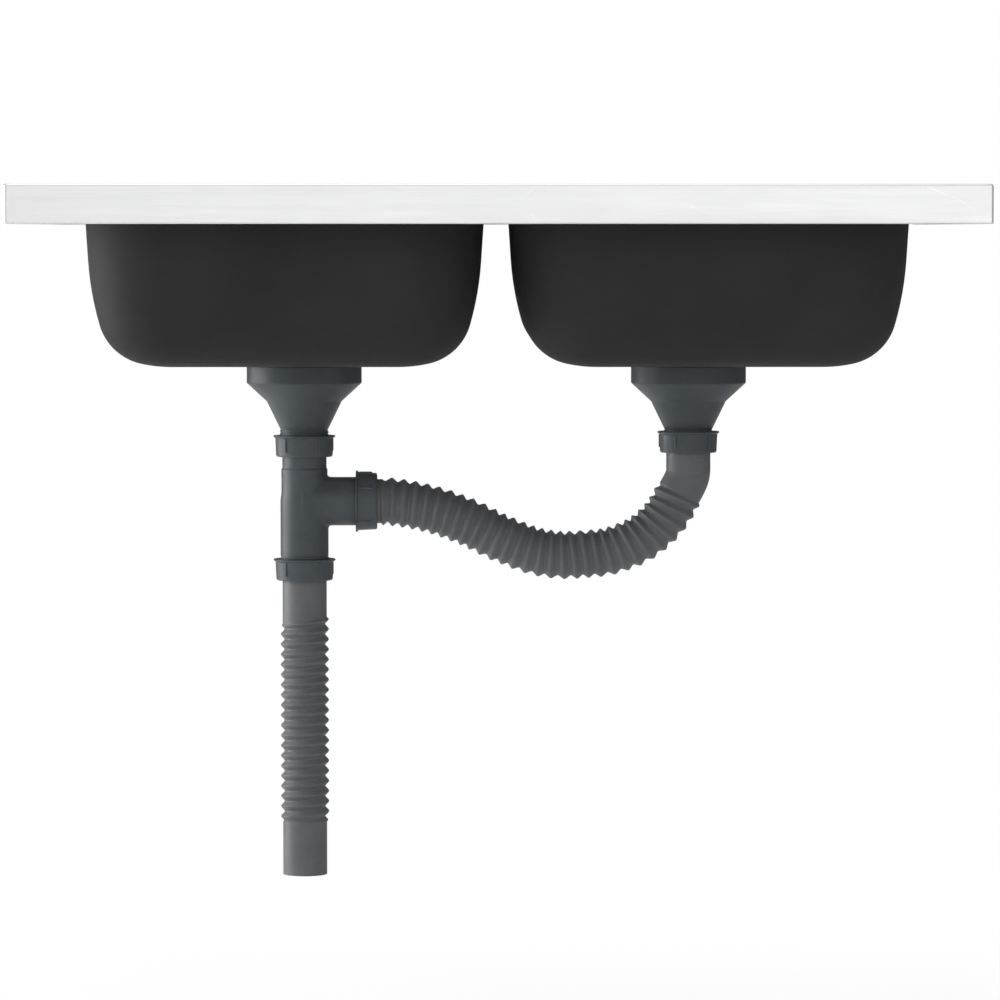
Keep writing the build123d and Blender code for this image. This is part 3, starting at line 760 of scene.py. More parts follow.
@dataclass(frozen=True)
class TurnedMetal(Finish):
    """Bright turned metal with tool marks and dull patches."""

    dull: Colour
    axis: Point  # metres

    def dress(self, nodes: Nodes, where: Signal) -> dict[str, object]:
        """Return the shader's inputs."""
        rings = SpinMarks.place(nodes, where, self.axis, 2600.0)
        patch = Mottle.place(nodes, where, 220.0, 0.18)
        return {"Base Color": nodes.tint(patch * 0.5, self.shade(), self.shade(colour=self.dull)),
                "Metallic": 1.0, "Roughness": nodes.ramp(rings, 0.0, 1.0, 0.16, 0.28) + patch * 0.15,
                "Normal": self.relief(nodes, rings, 0.01)}


DRAIN = middle("left_drain_body")
DRAIN_X = abs(DRAIN.x)
DRAIN_Y = DRAIN.y
DRAIN_AXIS = (DRAIN_X * MM, DRAIN_Y * MM, 0.0)

STAINLESS = SatinSteel("satin stainless", (0.93, 0.932, 0.935))
COAT = SprayedCoat("sprayed coat", (0.034, 0.034, 0.0355))
STRAINER_STEEL = SpunSteel("spun strainer steel", (0.78, 0.785, 0.79), DRAIN_AXIS)
DRAIN_PLASTIC = MouldedPlastic("moulded drain plastic", (0.077, 0.089, 0.098), rough=0.38)
HOSE_PLASTIC = MouldedPlastic("blown hose plastic", (0.135, 0.142, 0.147), rough=0.42, wear=0.35)
KNOB_PLASTIC = MouldedPlastic("knob plastic", (0.018, 0.018, 0.02), rough=0.24, grain_depth=0.004, dust=0.06)
WASHER_PLASTIC = MouldedPlastic("washer plastic", (0.55, 0.56, 0.56), rough=0.45, dust=0.05)
SEAL_RUBBER = Rubber("seal rubber", (0.022, 0.022, 0.023))
SCREW_STEEL = TurnedMetal("screw steel", (0.62, 0.62, 0.61), (0.34, 0.33, 0.32), DRAIN_AXIS)
INSERT_BRASS = TurnedMetal("insert brass", (0.66, 0.47, 0.20), (0.36, 0.23, 0.09), DRAIN_AXIS)


# ---- geometry trees ----
class GeometryTree(Grouped):
    """A geometry tree that starts from one geometry and ends in Realize Instances and Set Material."""

    kind = "GeometryNodeTree"
    result = GEOMETRY
    outputs = ("Geometry",)

    @staticmethod
    def dressed(nodes: Nodes, mesh: Signal, finish: Signal) -> tuple[Signal, ...]:
        """Return the tree's end."""
        real = nodes.out("GeometryNodeRealizeInstances", {0: mesh})
        return (nodes.out("GeometryNodeSetMaterial", {"Geometry": real, "Material": finish}),)


class HoleRing(GeometryTree):
    """Cuts a ring of round holes or slots through a piece."""

    label = "hole ring"
    inputs = {**GIVEN, "Count": INTEGER, "Ring Radius": FLOAT, "Cutter": VECTOR, "Round": BOOLEAN,
              "Centre": VECTOR, **DRESS}

    @classmethod
    def wire(cls, nodes: Nodes, given: Signal, count: Signal, ring: Signal, cutter: Signal, is_round: Signal,
             centre: Signal, finish: Signal) -> tuple[Signal, ...]:
        """Draw the tree's inside: cutters on a circle, each turned outwards, then a difference."""
        radius, _, depth = nodes.split(cutter)
        rod = nodes.out("GeometryNodeMeshCylinder", {"Vertices": 32, "Radius": radius, "Depth": depth})
        slot = nodes.out("GeometryNodeMeshCube", {"Size": cutter})
        pick = nodes.out("GeometryNodeSwitch", {0: is_round, 1: slot, 2: rod}, input_type="GEOMETRY")
        placed = nodes.moved(nodes.about(ring, count, pick), centre)
        solid = nodes.out("GeometryNodeRealizeInstances", {0: placed})
        cut = nodes.out("GeometryNodeMeshBoolean", {0: given, 1: solid}, operation="DIFFERENCE")
        return cls.dressed(nodes, cut, finish)


class RibRing(GeometryTree):
    """Adds grip ribs round a barrel, each drawn in at its ends and narrower at its face."""

    label = "rib ring"
    inputs = {**GIVEN, "Count": INTEGER, "Radius": FLOAT, "Rib": VECTOR, "Chamfer": FLOAT, "Turn": FLOAT,
              "Height": FLOAT, **DRESS}

    @classmethod
    def wire(cls, nodes: Nodes, given: Signal, count: Signal, radius: Signal, rib: Signal, chamfer: Signal,
             turn: Signal, height: Signal, finish: Signal) -> tuple[Signal, ...]:
        """Draw the tree's inside: one shaped bar, then its copies round the barrel."""
        depth, width, length = nodes.split(rib)
        bar = nodes.out("GeometryNodeMeshCube", {"Size": rib, "Vertices X": 5, "Vertices Y": 5,
                                                 "Vertices Z": 24})
        x, y, z = nodes.split(nodes.out("GeometryNodeInputPosition"))
        outer = nodes.ramp(x, 0.0, depth * 0.5, 0.0, 1.0)
        drop = nodes.ramp(length * 0.5 - abs(z), 0.0, chamfer, 1.0, 0.0, "SMOOTHSTEP")
        crown = nodes.math("POWER", abs(y) / (width * 0.5), 2.0) * 0.14
        fall = drop * chamfer + crown * depth
        offset = nodes.combine(fall * outer * -1.0, y * outer * -0.28, 0.0)
        shaped = nodes.out("GeometryNodeSetPosition", {"Geometry": bar, "Offset": offset})
        placed = nodes.moved(nodes.about(radius, count, shaped), nodes.combine(0.0, 0.0, height),
                             Rotation=nodes.combine(0.0, 0.0, turn))
        both = nodes.add("GeometryNodeJoinGeometry", {0: given})
        nodes.feed(both.inputs[0], placed)
        return cls.dressed(nodes, Signal(nodes, both.outputs[0]), finish)


class ScrewThread(GeometryTree):
    """Sweeps one ridge down a helix from height 0."""

    label = "screw thread"
    inputs = {**GIVEN, "Radius": FLOAT, "Pitch": FLOAT, "Turns": FLOAT, "Depth": FLOAT, **DRESS}

    @classmethod
    def wire(cls, nodes: Nodes, _: Signal, radius: Signal, pitch: Signal, turns: Signal, depth: Signal,
             finish: Signal) -> tuple[Signal, ...]:
        """Draw the tree's inside."""
        height = turns * pitch
        helix = nodes.out("GeometryNodeCurveSpiral", {"Resolution": 72, "Rotations": turns, "Height": height,
                                                      "Start Radius": radius, "End Radius": radius})
        ridge = nodes.out("GeometryNodeCurvePrimitiveCircle", {"Resolution": 8, "Radius": depth},
                          mode="RADIUS")
        thread = nodes.out("GeometryNodeCurveToMesh", {"Curve": helix, "Profile Curve": ridge,
                                                       "Fill Caps": True})
        return cls.dressed(nodes, nodes.moved(thread, nodes.combine(0.0, 0.0, height * -1.0)), finish)


class RibbedHose(GeometryTree):
    """Skins a hose along a line, with one helical rib between two plain cuffs.

    The mesh's rings follow the helix, so that each keeps its place on the rib, and they are held
    at the hose's square ends.
    """

    label = "ribbed hose"
    parts = 16  # of the skin to one pitch
    around = 72
    seam = 5e-6  # metres within which points merge
    inputs = {**GIVEN, **dict.fromkeys((
        "Length", "Pitch", "Rib Start", "Rib End", "First Crest", "Crest", "Valley", "Cuff", "Run In",
        "Slant", "Stretch"), FLOAT), **DRESS}

    @classmethod
    def wire(cls, nodes: Nodes, given: Signal, length: Signal, pitch: Signal, rib_start: Signal,
             rib_end: Signal, first_crest: Signal, crest: Signal, valley: Signal, cuff: Signal,
             run_in: Signal, slant: Signal, stretch: Signal, finish: Signal) -> tuple[Signal, ...]:
        """Draw the tree's inside: a sheet bent round the line, at the radius of the rib or the cuff."""
        line = nodes.out("GeometryNodeMeshToCurve", {0: given})
        steps = nodes.math("CEIL", (length / pitch + 1.0) * cls.parts)
        sheet = nodes.out("GeometryNodeMeshGrid", {"Size X": 1.0, "Size Y": 1.0, "Vertices X": steps + 1.0,
                                                   "Vertices Y": cls.around + 1})
        x, y, _ = nodes.split(nodes.out("GeometryNodeInputPosition"))
        share = y + 0.5
        turn = share * (2 * math.pi)
        ring = nodes.math("ROUND", (x + 0.5) * steps)
        free = ring * pitch / cls.parts + (share - 1.0) * pitch
        drawn = free * (1.0 + (free / length - 1.0) * stretch)
        along = nodes.math("MINIMUM", nodes.math("MAXIMUM", drawn, 0.0), length)
        phase = nodes.math("FRACT", (free - first_crest) / pitch - share + 0.5)
        saw = abs(phase - 0.5)
        slope = nodes.ramp(saw, 0.03, 0.46, 1.0, 0.0)
        eased = nodes.ramp(saw, 0.0, 0.5, 1.0, 0.0, "SMOOTHSTEP")
        rib = valley + (slope * 0.55 + eased * 0.45) * (crest - valley)
        start = rib_start + nodes.math("COSINE", turn) * slant
        begun = nodes.ramp(along, start, start + run_in, 0.0, 1.0, "SMOOTHSTEP")
        left = nodes.ramp(along, rib_end - run_in, rib_end, 1.0, 0.0, "SMOOTHSTEP")
        radius = cuff + begun * left * (rib - cuff)
        sample = nodes.add("GeometryNodeSampleCurve", {"Curves": line, "Length": along},
                           mode="LENGTH").outputs
        out = nodes.vector("CROSS_PRODUCT", FRONT, Signal(nodes, sample["Tangent"]))
        out = nodes.scaled(nodes.vector("NORMALIZE", out), nodes.math("COSINE", turn))
        front = nodes.scaled(FRONT, nodes.math("SINE", turn))
        spoke = nodes.scaled(nodes.vector("ADD", out, front), radius)
        place = nodes.vector("ADD", Signal(nodes, sample["Position"]), spoke)
        skin = nodes.out("GeometryNodeSetPosition", {"Geometry": sheet, "Position": place})
        merged = nodes.out("GeometryNodeMergeByDistance", {"Geometry": skin, "Distance": cls.seam})
        return cls.dressed(nodes, merged, finish)


class TeeBody(GeometryTree):
    """Blends a pipe and its branch into one moulded body, with the bore cut through both."""

    label = "tee body"
    steepness = 150.0  # of the density, for each metre
    margin = 0.003
    inputs = {**GIVEN, "Centre": VECTOR, **dict.fromkeys((
        "Upper Radius", "Lower Radius", "Step", "Branch Radius", "Bore", "Top", "Bottom", "Reach", "Fillet",
        "Voxel"), FLOAT), **DRESS}

    @classmethod
    def wire(cls, nodes: Nodes, _: Signal, centre: Signal, upper: Signal, lower: Signal, step: Signal,
             branch: Signal, bore: Signal, top: Signal, bottom: Signal, reach: Signal, fillet: Signal,
             voxel: Signal, finish: Signal) -> tuple[Signal, ...]:
        """Draw the tree's inside: distances to both pipes, blended, then a mesh of their sum."""
        x, y, z = nodes.split(nodes.out("GeometryNodeInputPosition"))
        run_distance = nodes.length(nodes.combine(x, y, 0.0))
        run_skin = run_distance - nodes.ramp(z, 0.0, step, lower, upper, "SMOOTHSTEP")
        branch_distance = nodes.length(nodes.combine(0.0, y, z))
        behind = x * -1.0
        branch_skin = nodes.math("MAXIMUM", branch_distance - branch, behind)
        outside = nodes.math("SMOOTH_MIN", run_skin, branch_skin, fillet)
        for end in (z - top, bottom - z, x - reach):
            outside = nodes.math("MAXIMUM", outside, end)
        branch_bore = nodes.math("MAXIMUM", branch_distance - bore, behind)
        hollow = nodes.math("MINIMUM", run_distance - bore, branch_bore)
        distance = nodes.math("MAXIMUM", outside, hollow * -1.0)
        half = branch + cls.margin
        low = nodes.combine(half * -1.0, half * -1.0, bottom - cls.margin)
        high = nodes.combine(reach + cls.margin, half, top + cls.margin)
        size = nodes.split(nodes.vector("SUBTRACT", high, low))
        counts = [nodes.math("CEIL", part / voxel) for part in size]
        cloud = nodes.out("GeometryNodeVolumeCube", {
            "Density": 0.5 - distance * cls.steepness, "Background": 0.0, "Min": low, "Max": high,
            "Resolution X": counts[0], "Resolution Y": counts[1], "Resolution Z": counts[2]})
        mesh = nodes.out("GeometryNodeVolumeToMesh", {"Volume": cloud, "Threshold": 0.5})
        return cls.dressed(nodes, nodes.moved(mesh, centre), finish)


# ---- carrying and seating pieces ----
class Body(Enum):
    """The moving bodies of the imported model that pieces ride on."""

    SINK = "sink"
    LEFT_BASKET = "left_basket"
    RIGHT_BASKET = "right_basket"
    LEFT_NUT = "left_union_nut"
    RIGHT_NUT = "right_union_nut"
    BRANCH_NUT = "branch_nut"
    LOWER_NUT = "lower_nut"


class Slot(Enum):
    """The record's material slots of the rebuilt pieces."""

    STAINLESS = "stainless"
    COAT = "undercoat"
    STRAINER = "polished_steel"
    PLASTIC = "drain_plastic"
    HOSE = "hose_plastic"
    KNOB = "knob_plastic"


def hand_over(piece: bpy.types.Object, body: Body, node: str) -> bpy.types.Object:
    """Seat a rebuilt piece on its body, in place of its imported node.

    Args:
        piece: the finished piece.
        body: the body that it rides on.
        node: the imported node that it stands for.

    Returns:
        The piece.
    """
    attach(piece, body.value)
    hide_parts(node)
    piece.data.update()
    LOG.info("%s: %d faces, on %s", piece.name, len(piece.data.polygons), body.value)
    return piece


def carry(node: str, finish: Finish) -> None:
    """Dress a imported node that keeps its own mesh."""
    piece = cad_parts[node]
    for slot in piece.material_slots:
        slot.material = finish.material()
    if not piece.material_slots:
        piece.data.materials.append(finish.material())
    LOG.info("%s: carried, %s", node, finish.name)


# ---- bowls ----
@dataclass(frozen=True)
class BowlForm:
    """The drafted, rounded form that the deck's openings, the bowls and their coat all follow."""

    top: float  # level of the deck
    half_width: float = 167.6  # at the level of the deck's top, outside the coat
    half_length: float = 202.6
    corner: float = 76.0
    draft: float = 3.7  # degrees, of the straight upper wall
    bends: tuple[tuple[float, float], ...] = (
        (253.0, 16.0), (46.0, 77.0), (111.0, 90.0))  # radius, last slope
    depth: float = 151.3
    dish_radius: float = 82.0
    dish_foot: float = 58.0
    dish_depth: float = 0.8
    bend_step: float = 2.2  # degrees
    dish_steps: int = 8
    wall_shares: tuple[float, ...] = (0.25, 0.5, 0.75, 0.98)  # where rings lie on the straight wall
    floor_shares: tuple[float, ...] = (0.06, 0.35, 0.65, 0.94)  # the same from the bend to the dish

    def narrowing(self, level: float, inset: float) -> float:
        """Return how far a wall lies inside the outline at the deck's top."""
        slope = math.radians(self.draft)
        return inset / math.cos(slope) + (self.top - level) * math.tan(slope)

    def bent_side(self, inset: float) -> Profile:
        """Return how the wall bends into the floor.

        Args:
            inset: how far the skin lies inside the coat's outer skin.

        Returns:
            Narrowing and level of each step, from the end of the straight wall to the floor.
        """
        slopes = [math.radians(slope) for slope in (self.draft, *(slope for _, slope in self.bends))]
        bends = [(radius, start, end) for (radius, _), start, end in zip(self.bends, slopes, slopes[1:])]
        straight = self.depth - sum([radius * (math.sin(end) - math.sin(start))
                                     for radius, start, end in bends])
        side = [(straight * math.tan(slopes[0]) + inset * math.cos(slopes[0]),
                 self.top - straight + inset * math.sin(slopes[0]))]
        for radius, start, end in bends:
            steps = math.ceil(math.degrees(end - start) / self.bend_step)
            first_narrowing, first_level = side[-1]
            for step in range(1, steps + 1):
                turn = start + (end - start) * step / steps
                side.append((first_narrowing + (radius - inset) * (math.cos(start) - math.cos(turn)),
                             first_level - (radius - inset) * (math.sin(turn) - math.sin(start))))
        return side

    def ring(self, narrowing: float, level: float, centre: Vector) -> Ring:
        """Return the outline of a level, so far inside the outline at the deck's top."""
        outline = rounded_rectangle(self.half_width - narrowing, self.half_length - narrowing,
                                    max(self.corner - narrowing, 1.0))
        return [(centre.x + x, centre.y + y, level) for x, y in outline]

    def facing(self, edge: Ring, drain: Vector, radius: float, level: float) -> Ring:
        """Return a circle about the drain whose points face those of a ring round it."""
        points: Ring = []
        for place in edge:
            spoke = Vector((place[0] - drain.x, place[1] - drain.y)).normalized() * radius
            points.append((drain.x + spoke.x, drain.y + spoke.y, level))
        return points

    def skin(self, top: float, inset: float, centre: Vector, drain: Vector, hole: float) -> list[Ring]:
        """Return the rings of one skin, from its top edge to the waste hole.

        Args:
            top: level of its top edge.
            inset: how far it lies inside the coat's outer skin.
            centre: centre of the bowl.
            drain: axis of the strainer.
            hole: radius of its hole.

        Returns:
            The rings.
        """
        floor = self.top - self.depth + inset
        bent = self.bent_side(inset)
        bend_top = bent[0][1]
        levels = [top, top - 0.6] + [top + (bend_top - top) * share for share in self.wall_shares]
        rings = [self.ring(self.narrowing(level, inset), level, centre) for level in levels]
        rings += [self.ring(narrowing, level, centre) for narrowing, level in bent]
        edge = rings[-1]
        dish = self.facing(edge, drain, self.dish_radius, floor)
        for share in self.floor_shares:
            rings.append([tuple(Vector(a).lerp(Vector(b), share)) for a, b in zip(edge, dish)])
        for step in range(self.dish_steps + 1):
            share = step / self.dish_steps
            eased = share * share * (3 - 2 * share)
            radius = self.dish_radius + (self.dish_foot - self.dish_radius) * share
            rings.append(self.facing(edge, drain, radius, floor - self.dish_depth * eased))
        for radius in (self.dish_foot - 1, hole + 0.5, hole):
            rings.append(self.facing(edge, drain, radius, floor - self.dish_depth))
        return rings


FORM = BowlForm(span("deck")[1].z)


@dataclass(frozen=True)
class Bowl:
    """One deep-drawn bowl with its sound-deadening coat."""

    side: str
    coat: float = 1.2
    sheet: float = 0.8
    waste_hole: float = 45.0
    bare_ring: float = 50.85

    def build(self) -> None:
        """Build the bowl and its coat, and seat them."""
        self.build_shell("bowl", (self.coat + self.sheet, self.coat), self.waste_hole, STAINLESS)
        self.build_shell("undercoat", (self.coat, 0.0), self.bare_ring, COAT)

    def build_shell(self, part: str, insets: tuple[float, float], hole: float, finish: Finish) -> None:
        """Build a closed shell from two skins that meet at their edges.

        Args:
            part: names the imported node, after the side.
            insets: how far its inner and outer skins lie inside the coat's outer skin.
            hole: radius of its hole.
            finish: its material.
        """
        node = f"{self.side}_{part}"
        centre = middle(f"{self.side}_undercoat")
        drain = middle(f"{self.side}_drain_body")
        inner, outer = (FORM.skin(span(node)[1].z, inset, centre, drain, hole) for inset in insets)
        draft = Draft()
        draft.skin(inner + outer[::-1], closed=True)
        hand_over(draft.finish(f"{node}_shell", finish, sharp=40.0), Body.SINK, node)


# ---- deck ----
@dataclass(frozen=True)
class Deck:
    """Pressed top: apron, return lip, raised rim, sunken pan, two rolled openings and a tap hole."""

    sheet: float = 0.8
    corner: float = 4.0
    edge_radius: float = 2.0
    return_lip: float = 15.0
    bend: float = 1.1
    rim_width: float = 13.0
    rim_step: float = 4.0
    rim_corner: float = 22.0
    rim_round: float = 2.2
    opening_inset: float = 2.0
    roll_radius: float = 6.0
    roll_steps: int = 10
    collar_depth: float = 17.0
    tap_radius: float = 17.5
    tap_from_back: float = 70.0
    tap_steps: int = 64
    support: float = 1.0  # between an edge of the flat pan and the ring that holds it flat

    def build(self) -> None:
        """Build the deck's skin, give it its gauge, and seat it."""
        high = span("deck")[1]
        draft = Draft()
        loops = [self.border(draft, high)]
        loops += [self.opening(draft, middle(f"{side}_undercoat")) for side in ("left", "right")]
        loops.append(self.tap_hole(draft, high))
        edges = [edge for loop in loops for edge in self.edges_of(loop)]
        filled = bmesh.ops.triangle_fill(draft.mesh, use_beauty=True, use_dissolve=False, edges=edges)
        pan = [face for face in filled["geom"] if isinstance(face, bmesh.types.BMFace)]
        bmesh.ops.recalc_face_normals(draft.mesh, faces=draft.mesh.faces)
        if sum(face.normal.z for face in pan) < 0:
            bmesh.ops.reverse_faces(draft.mesh, faces=draft.mesh.faces)
        skin = draft.finish("deck_skin", STAINLESS, outward=False)
        hand_over(wall(skin, self.sheet, sharp=30.0), Body.SINK, "deck")

    def edges_of(self, loop: list) -> list:
        """Return the edges that join a closed loop of vertices."""
        found = []
        for vertex, after in zip(loop, loop[1:] + loop[:1]):
            found += [edge for edge in vertex.link_edges if edge.other_vert(vertex) == after]
        return found

    def border(self, draft: Draft, high: Vector) -> list:
        """Draw the lip, apron, edge and rim.

        Args:
            draft: the drawing.
            high: the deck's highest corner.

        Returns:
            The vertices of the ring inside which the pan is flat.
        """
        top = high.z
        pan = top - self.rim_step
        foot = self.rim_width + self.rim_step
        corners = [(self.return_lip, 0.0), (0.0, 0.0), (0.0, top), (self.rim_width, top), (foot, pan),
                   (foot + 4, pan)]
        radii = [0, self.bend, self.edge_radius, self.rim_round, self.rim_round, 0]
        rings = []
        for inset, level in rounded(corners, radii, steps=7):
            across = min(inset / self.rim_width, 1.0) if level > top / 2 else 0.0
            corner = max(self.corner - min(inset, 3.0), 0.8) + across * (self.rim_corner - 1.0)
            if inset > self.rim_width:
                corner = self.rim_corner - (inset - self.rim_width)
            outline = rounded_rectangle(high.x - inset, high.y - inset, corner, corner_steps=10, side_steps=6)
            rings.append([(x, y, level) for x, y in outline])
        return draft.skin(rings, closed=False)[-1]

    def opening(self, draft: Draft, centre: Vector) -> list:
        """Draw one bowl's opening: the rolled edge and the collar below it.

        Args:
            draft: the drawing.
            centre: centre of the bowl.

        Returns:
            The vertices of its ring on the flat pan.
        """
        pan = FORM.top - self.rim_step
        quarter = math.pi / 2 - math.radians(FORM.draft)
        start = FORM.narrowing(pan, self.opening_inset) - self.roll_radius * math.tan(quarter / 2)
        rings = [FORM.ring(start - self.support, pan, centre)]
        for step in range(self.roll_steps + 1):
            turn = quarter * step / self.roll_steps
            rings.append(FORM.ring(start + self.roll_radius * math.sin(turn),
                                   pan - self.roll_radius * (1 - math.cos(turn)), centre))
        seam = FORM.top - self.collar_depth
        low = pan - self.roll_radius
        for level in (low - 0.3, (low + seam) / 2, seam):
            rings.append(FORM.ring(FORM.narrowing(level, self.opening_inset), level, centre))
        return draft.skin(rings, closed=False)[0]

    def tap_hole(self, draft: Draft, high: Vector) -> list:
        """Draw the ring round the tap hole and return its outer vertices."""
        radii = (self.tap_radius + 2 * self.support, self.tap_radius + self.support / 2, self.tap_radius)
        centre = (0.0, high.y - self.tap_from_back)
        rings = [circle(radius, high.z - self.rim_step, self.tap_steps, centre) for radius in radii]
        return draft.skin(rings, closed=False)[0]


# ---- strainers ----
@dataclass(frozen=True)
class PipeThread:
    """The outside thread that the strainers' necks and the tee's ends share."""

    core: float = 20.25
    crest: float = 21.1
    pitch: float = 2.309

    def draw(self, draft: Draft, name: str, place: Matrix, top: float, length: float) -> None:
        """Draw the thread's ridge.

        Args:
            draft: the drawing.
            name: names the ridge.
            place: where the threaded piece stands.
            top: height of the ridge's upper end.
            length: how far down it runs.
        """
        ridge = run(seed_mesh(name), ScrewThread, DRAIN_PLASTIC, Radius=self.core * MM, Pitch=self.pitch * MM,
                    Turns=length / self.pitch, Depth=(self.crest - self.core) * MM)
        draft.take(ridge, place @ Matrix.Translation((0, 0, top)))


THREAD = PipeThread()
BORE = 17.3  # radius inside the strainer bodies and the tee
SOCKET_RADIUS = 19.2
SOCKET_DEPTH = 20.0


@dataclass(frozen=True)
class Strainer:
    """One strainer: pressed cup, lift-out basket with its knob, and the moulded body below."""

    side: str
    basket_body: Body
    gauge: float = 0.8
    cup_radius: float = 43.0
    cup_depth: float = 24.5
    ledge_radius: float = 37.0
    ledge_drop: float = 6.5
    cup_hole: float = 6.0
    cup_holes: int = 8
    basket_radius: float = 34.0
    basket_rim: float = 40.8
    basket_depth: float = 15.0
    slot_size: Point = (6.0, 2.4, 6.75)
    slots: int = 14
    basket_hole: float = 1.9
    basket_rows: tuple[tuple[float, int], ...] = (
        (0.34, 7), (0.545, 12), (0.735, 17))  # share of the radius, holes
    screw: float = 3.05
    knob_radius: float = 9.0
    stem_radius: float = 3.5
    body_wall: float = 2.8
    waist: tuple[float, float] = (32.1, -151.9)  # radius, level
    cone_top: float = -136.0
    neck: tuple[float, float] = (20.8, -175.2)  # radius, level
    boss: Point = (7.5, 14.0, -141.25)  # radius, height, level of its top
    boss_hole: tuple[float, float] = (4.55, 9.0)  # radius, depth
    arm: float = 2.6
    arms: int = 4

    @property
    def place(self) -> Matrix:
        """Where the strainer's axis stands."""
        centre = middle(f"{self.side}_drain_body")
        return Matrix.Translation((centre.x, centre.y, 0.0))

    def build(self) -> None:
        """Build the strainer's pieces and seat them."""
        self.build_cup()
        self.build_basket()
        self.build_knob()
        self.build_body()

    def perforate(self, piece: bpy.types.Object, count: int, ring: float, cutter: Point, level: float,
                  round_hole: bool = True) -> None:
        """Cut one ring of holes or slots.

        Args:
            piece: what is cut.
            count: how many.
            ring: radius of the ring that they stand on.
            cutter: radius and height of a round cutter in its first and last value, or a slot's size.
            level: height of the cutters' middle.
            round_hole: whether they are round.
        """
        centre = self.place.translation
        run(piece, HoleRing, STRAINER_STEEL, Count=count, Ring_Radius=ring * MM, Cutter=Vector(cutter) * MM,
            Round=round_hole, Centre=Vector((centre.x, centre.y, level)) * MM)

    def press(self, name: str, corners: Profile, radii: Sequence[float]) -> bpy.types.Object:
        """Turn a pressed piece from the corners of its mid-line and their radii."""
        draft = Draft()
        draft.lathe(strip(rounded(corners, radii, steps=8), self.gauge), self.place)
        return draft.finish(f"{self.side}_{name}", STRAINER_STEEL)

    def build_cup(self) -> None:
        """Build the pressed cup with its flange, ledge and holes."""
        low, high = span(f"{self.side}_strainer_flange")
        flange = high.z - self.gauge / 2
        edge = (high.x - low.x) / 2
        ledge = flange - self.ledge_drop
        floor = flange - self.cup_depth
        cup = self.press("strainer_cup", [
            (edge - 0.3, flange), (self.cup_radius, flange), (self.cup_radius - 0.4, ledge),
            (self.ledge_radius, ledge), (self.ledge_radius - 1, floor), (self.screw, floor)],
            [0, 2.5, 2.0, 2.0, 8.0, 0])
        self.perforate(cup, self.cup_holes, self.ledge_radius * 0.55, (self.cup_hole, 0.0, 6.0), floor)
        hand_over(cup, Body.SINK, f"{self.side}_strainer_flange")

    def build_basket(self) -> None:
        """Build the lift-out basket with its slots and three rows of holes."""
        rim = span(f"{self.side}_basket")[1].z - self.gauge / 2
        floor = rim - self.basket_depth
        basket = self.press("basket_shell", [
            (self.basket_rim - 0.25, rim), (self.basket_radius, rim), (self.basket_radius - 2, floor),
            (self.stem_radius - 1, floor)], [0, 2.0, 5.0, 0])
        self.perforate(basket, self.slots, self.basket_radius - 1, self.slot_size,
                       rim - 0.48 * self.basket_depth, round_hole=False)
        for share, count in self.basket_rows:
            self.perforate(basket, count, share * self.basket_radius, (self.basket_hole, 0.0, 4.0), floor)
        hand_over(basket, self.basket_body, f"{self.side}_basket")

    def build_knob(self) -> None:
        """Build the basket's knob, waisted under a domed head."""
        low, high = span(f"{self.side}_basket_knob")
        foot, top = low.z, high.z
        stem, head = self.stem_radius, self.knob_radius
        corners = [(0, foot), (stem + 2, foot), (stem + 2, foot + 1.5), (stem, foot + 3), (stem, top - 6),
                   (head - 1, top - 5), (head, top - 3.5), (head - 0.6, top - 1), (head - 2.2, top), (0, top)]
        draft = Draft()
        draft.lathe(rounded(corners, [0, 0.3, 0.8, 1.5, 1.5, 0.8, 1.2, 1.2, 2.0, 0]), self.place, steps=96)
        hand_over(draft.finish(f"{self.side}_knob", KNOB_PLASTIC), self.basket_body,
                  f"{self.side}_basket_knob")

    def build_body(self) -> None:
        """Build the moulded body: cup, two cones, threaded neck, and the boss on its arms."""
        low, high = span(f"{self.side}_drain_body")
        radius = (high.x - low.x) / 2
        inner = radius - self.body_wall
        top, mouth = high.z, low.z
        socket_top = mouth + SOCKET_DEPTH
        waist_radius, waist = self.waist
        neck_radius, neck = self.neck
        corners = [(radius, top), (radius, self.cone_top), (waist_radius, waist), (neck_radius, neck),
                   (THREAD.core, neck - 1), (THREAD.core, mouth), (SOCKET_RADIUS + 0.6, mouth),
                   (SOCKET_RADIUS, mouth + 2.4), (SOCKET_RADIUS, socket_top), (BORE, socket_top),
                   (BORE, socket_top + 1), (waist_radius - self.body_wall, waist + 0.4 * self.body_wall),
                   (inner, self.cone_top + 0.3 * self.body_wall), (inner, top)]
        rounds = [0.6, 1.6, 2.0, 1.5, 0.3, 0.5, 0.3, 0.3, 0.3, 0.3, 0.3, 2.0, 2.0, 0.4]
        draft = Draft()
        draft.lathe(rounded(corners, rounds, closed=True), self.place)
        self.draw_boss(draft)
        THREAD.draw(draft, f"{self.side}_neck_thread", self.place, neck - 1.6, neck - 1.2 - mouth - 0.8)
        hand_over(draft.finish(f"{self.side}_drain_moulding", DRAIN_PLASTIC), Body.SINK,
                  f"{self.side}_drain_body")

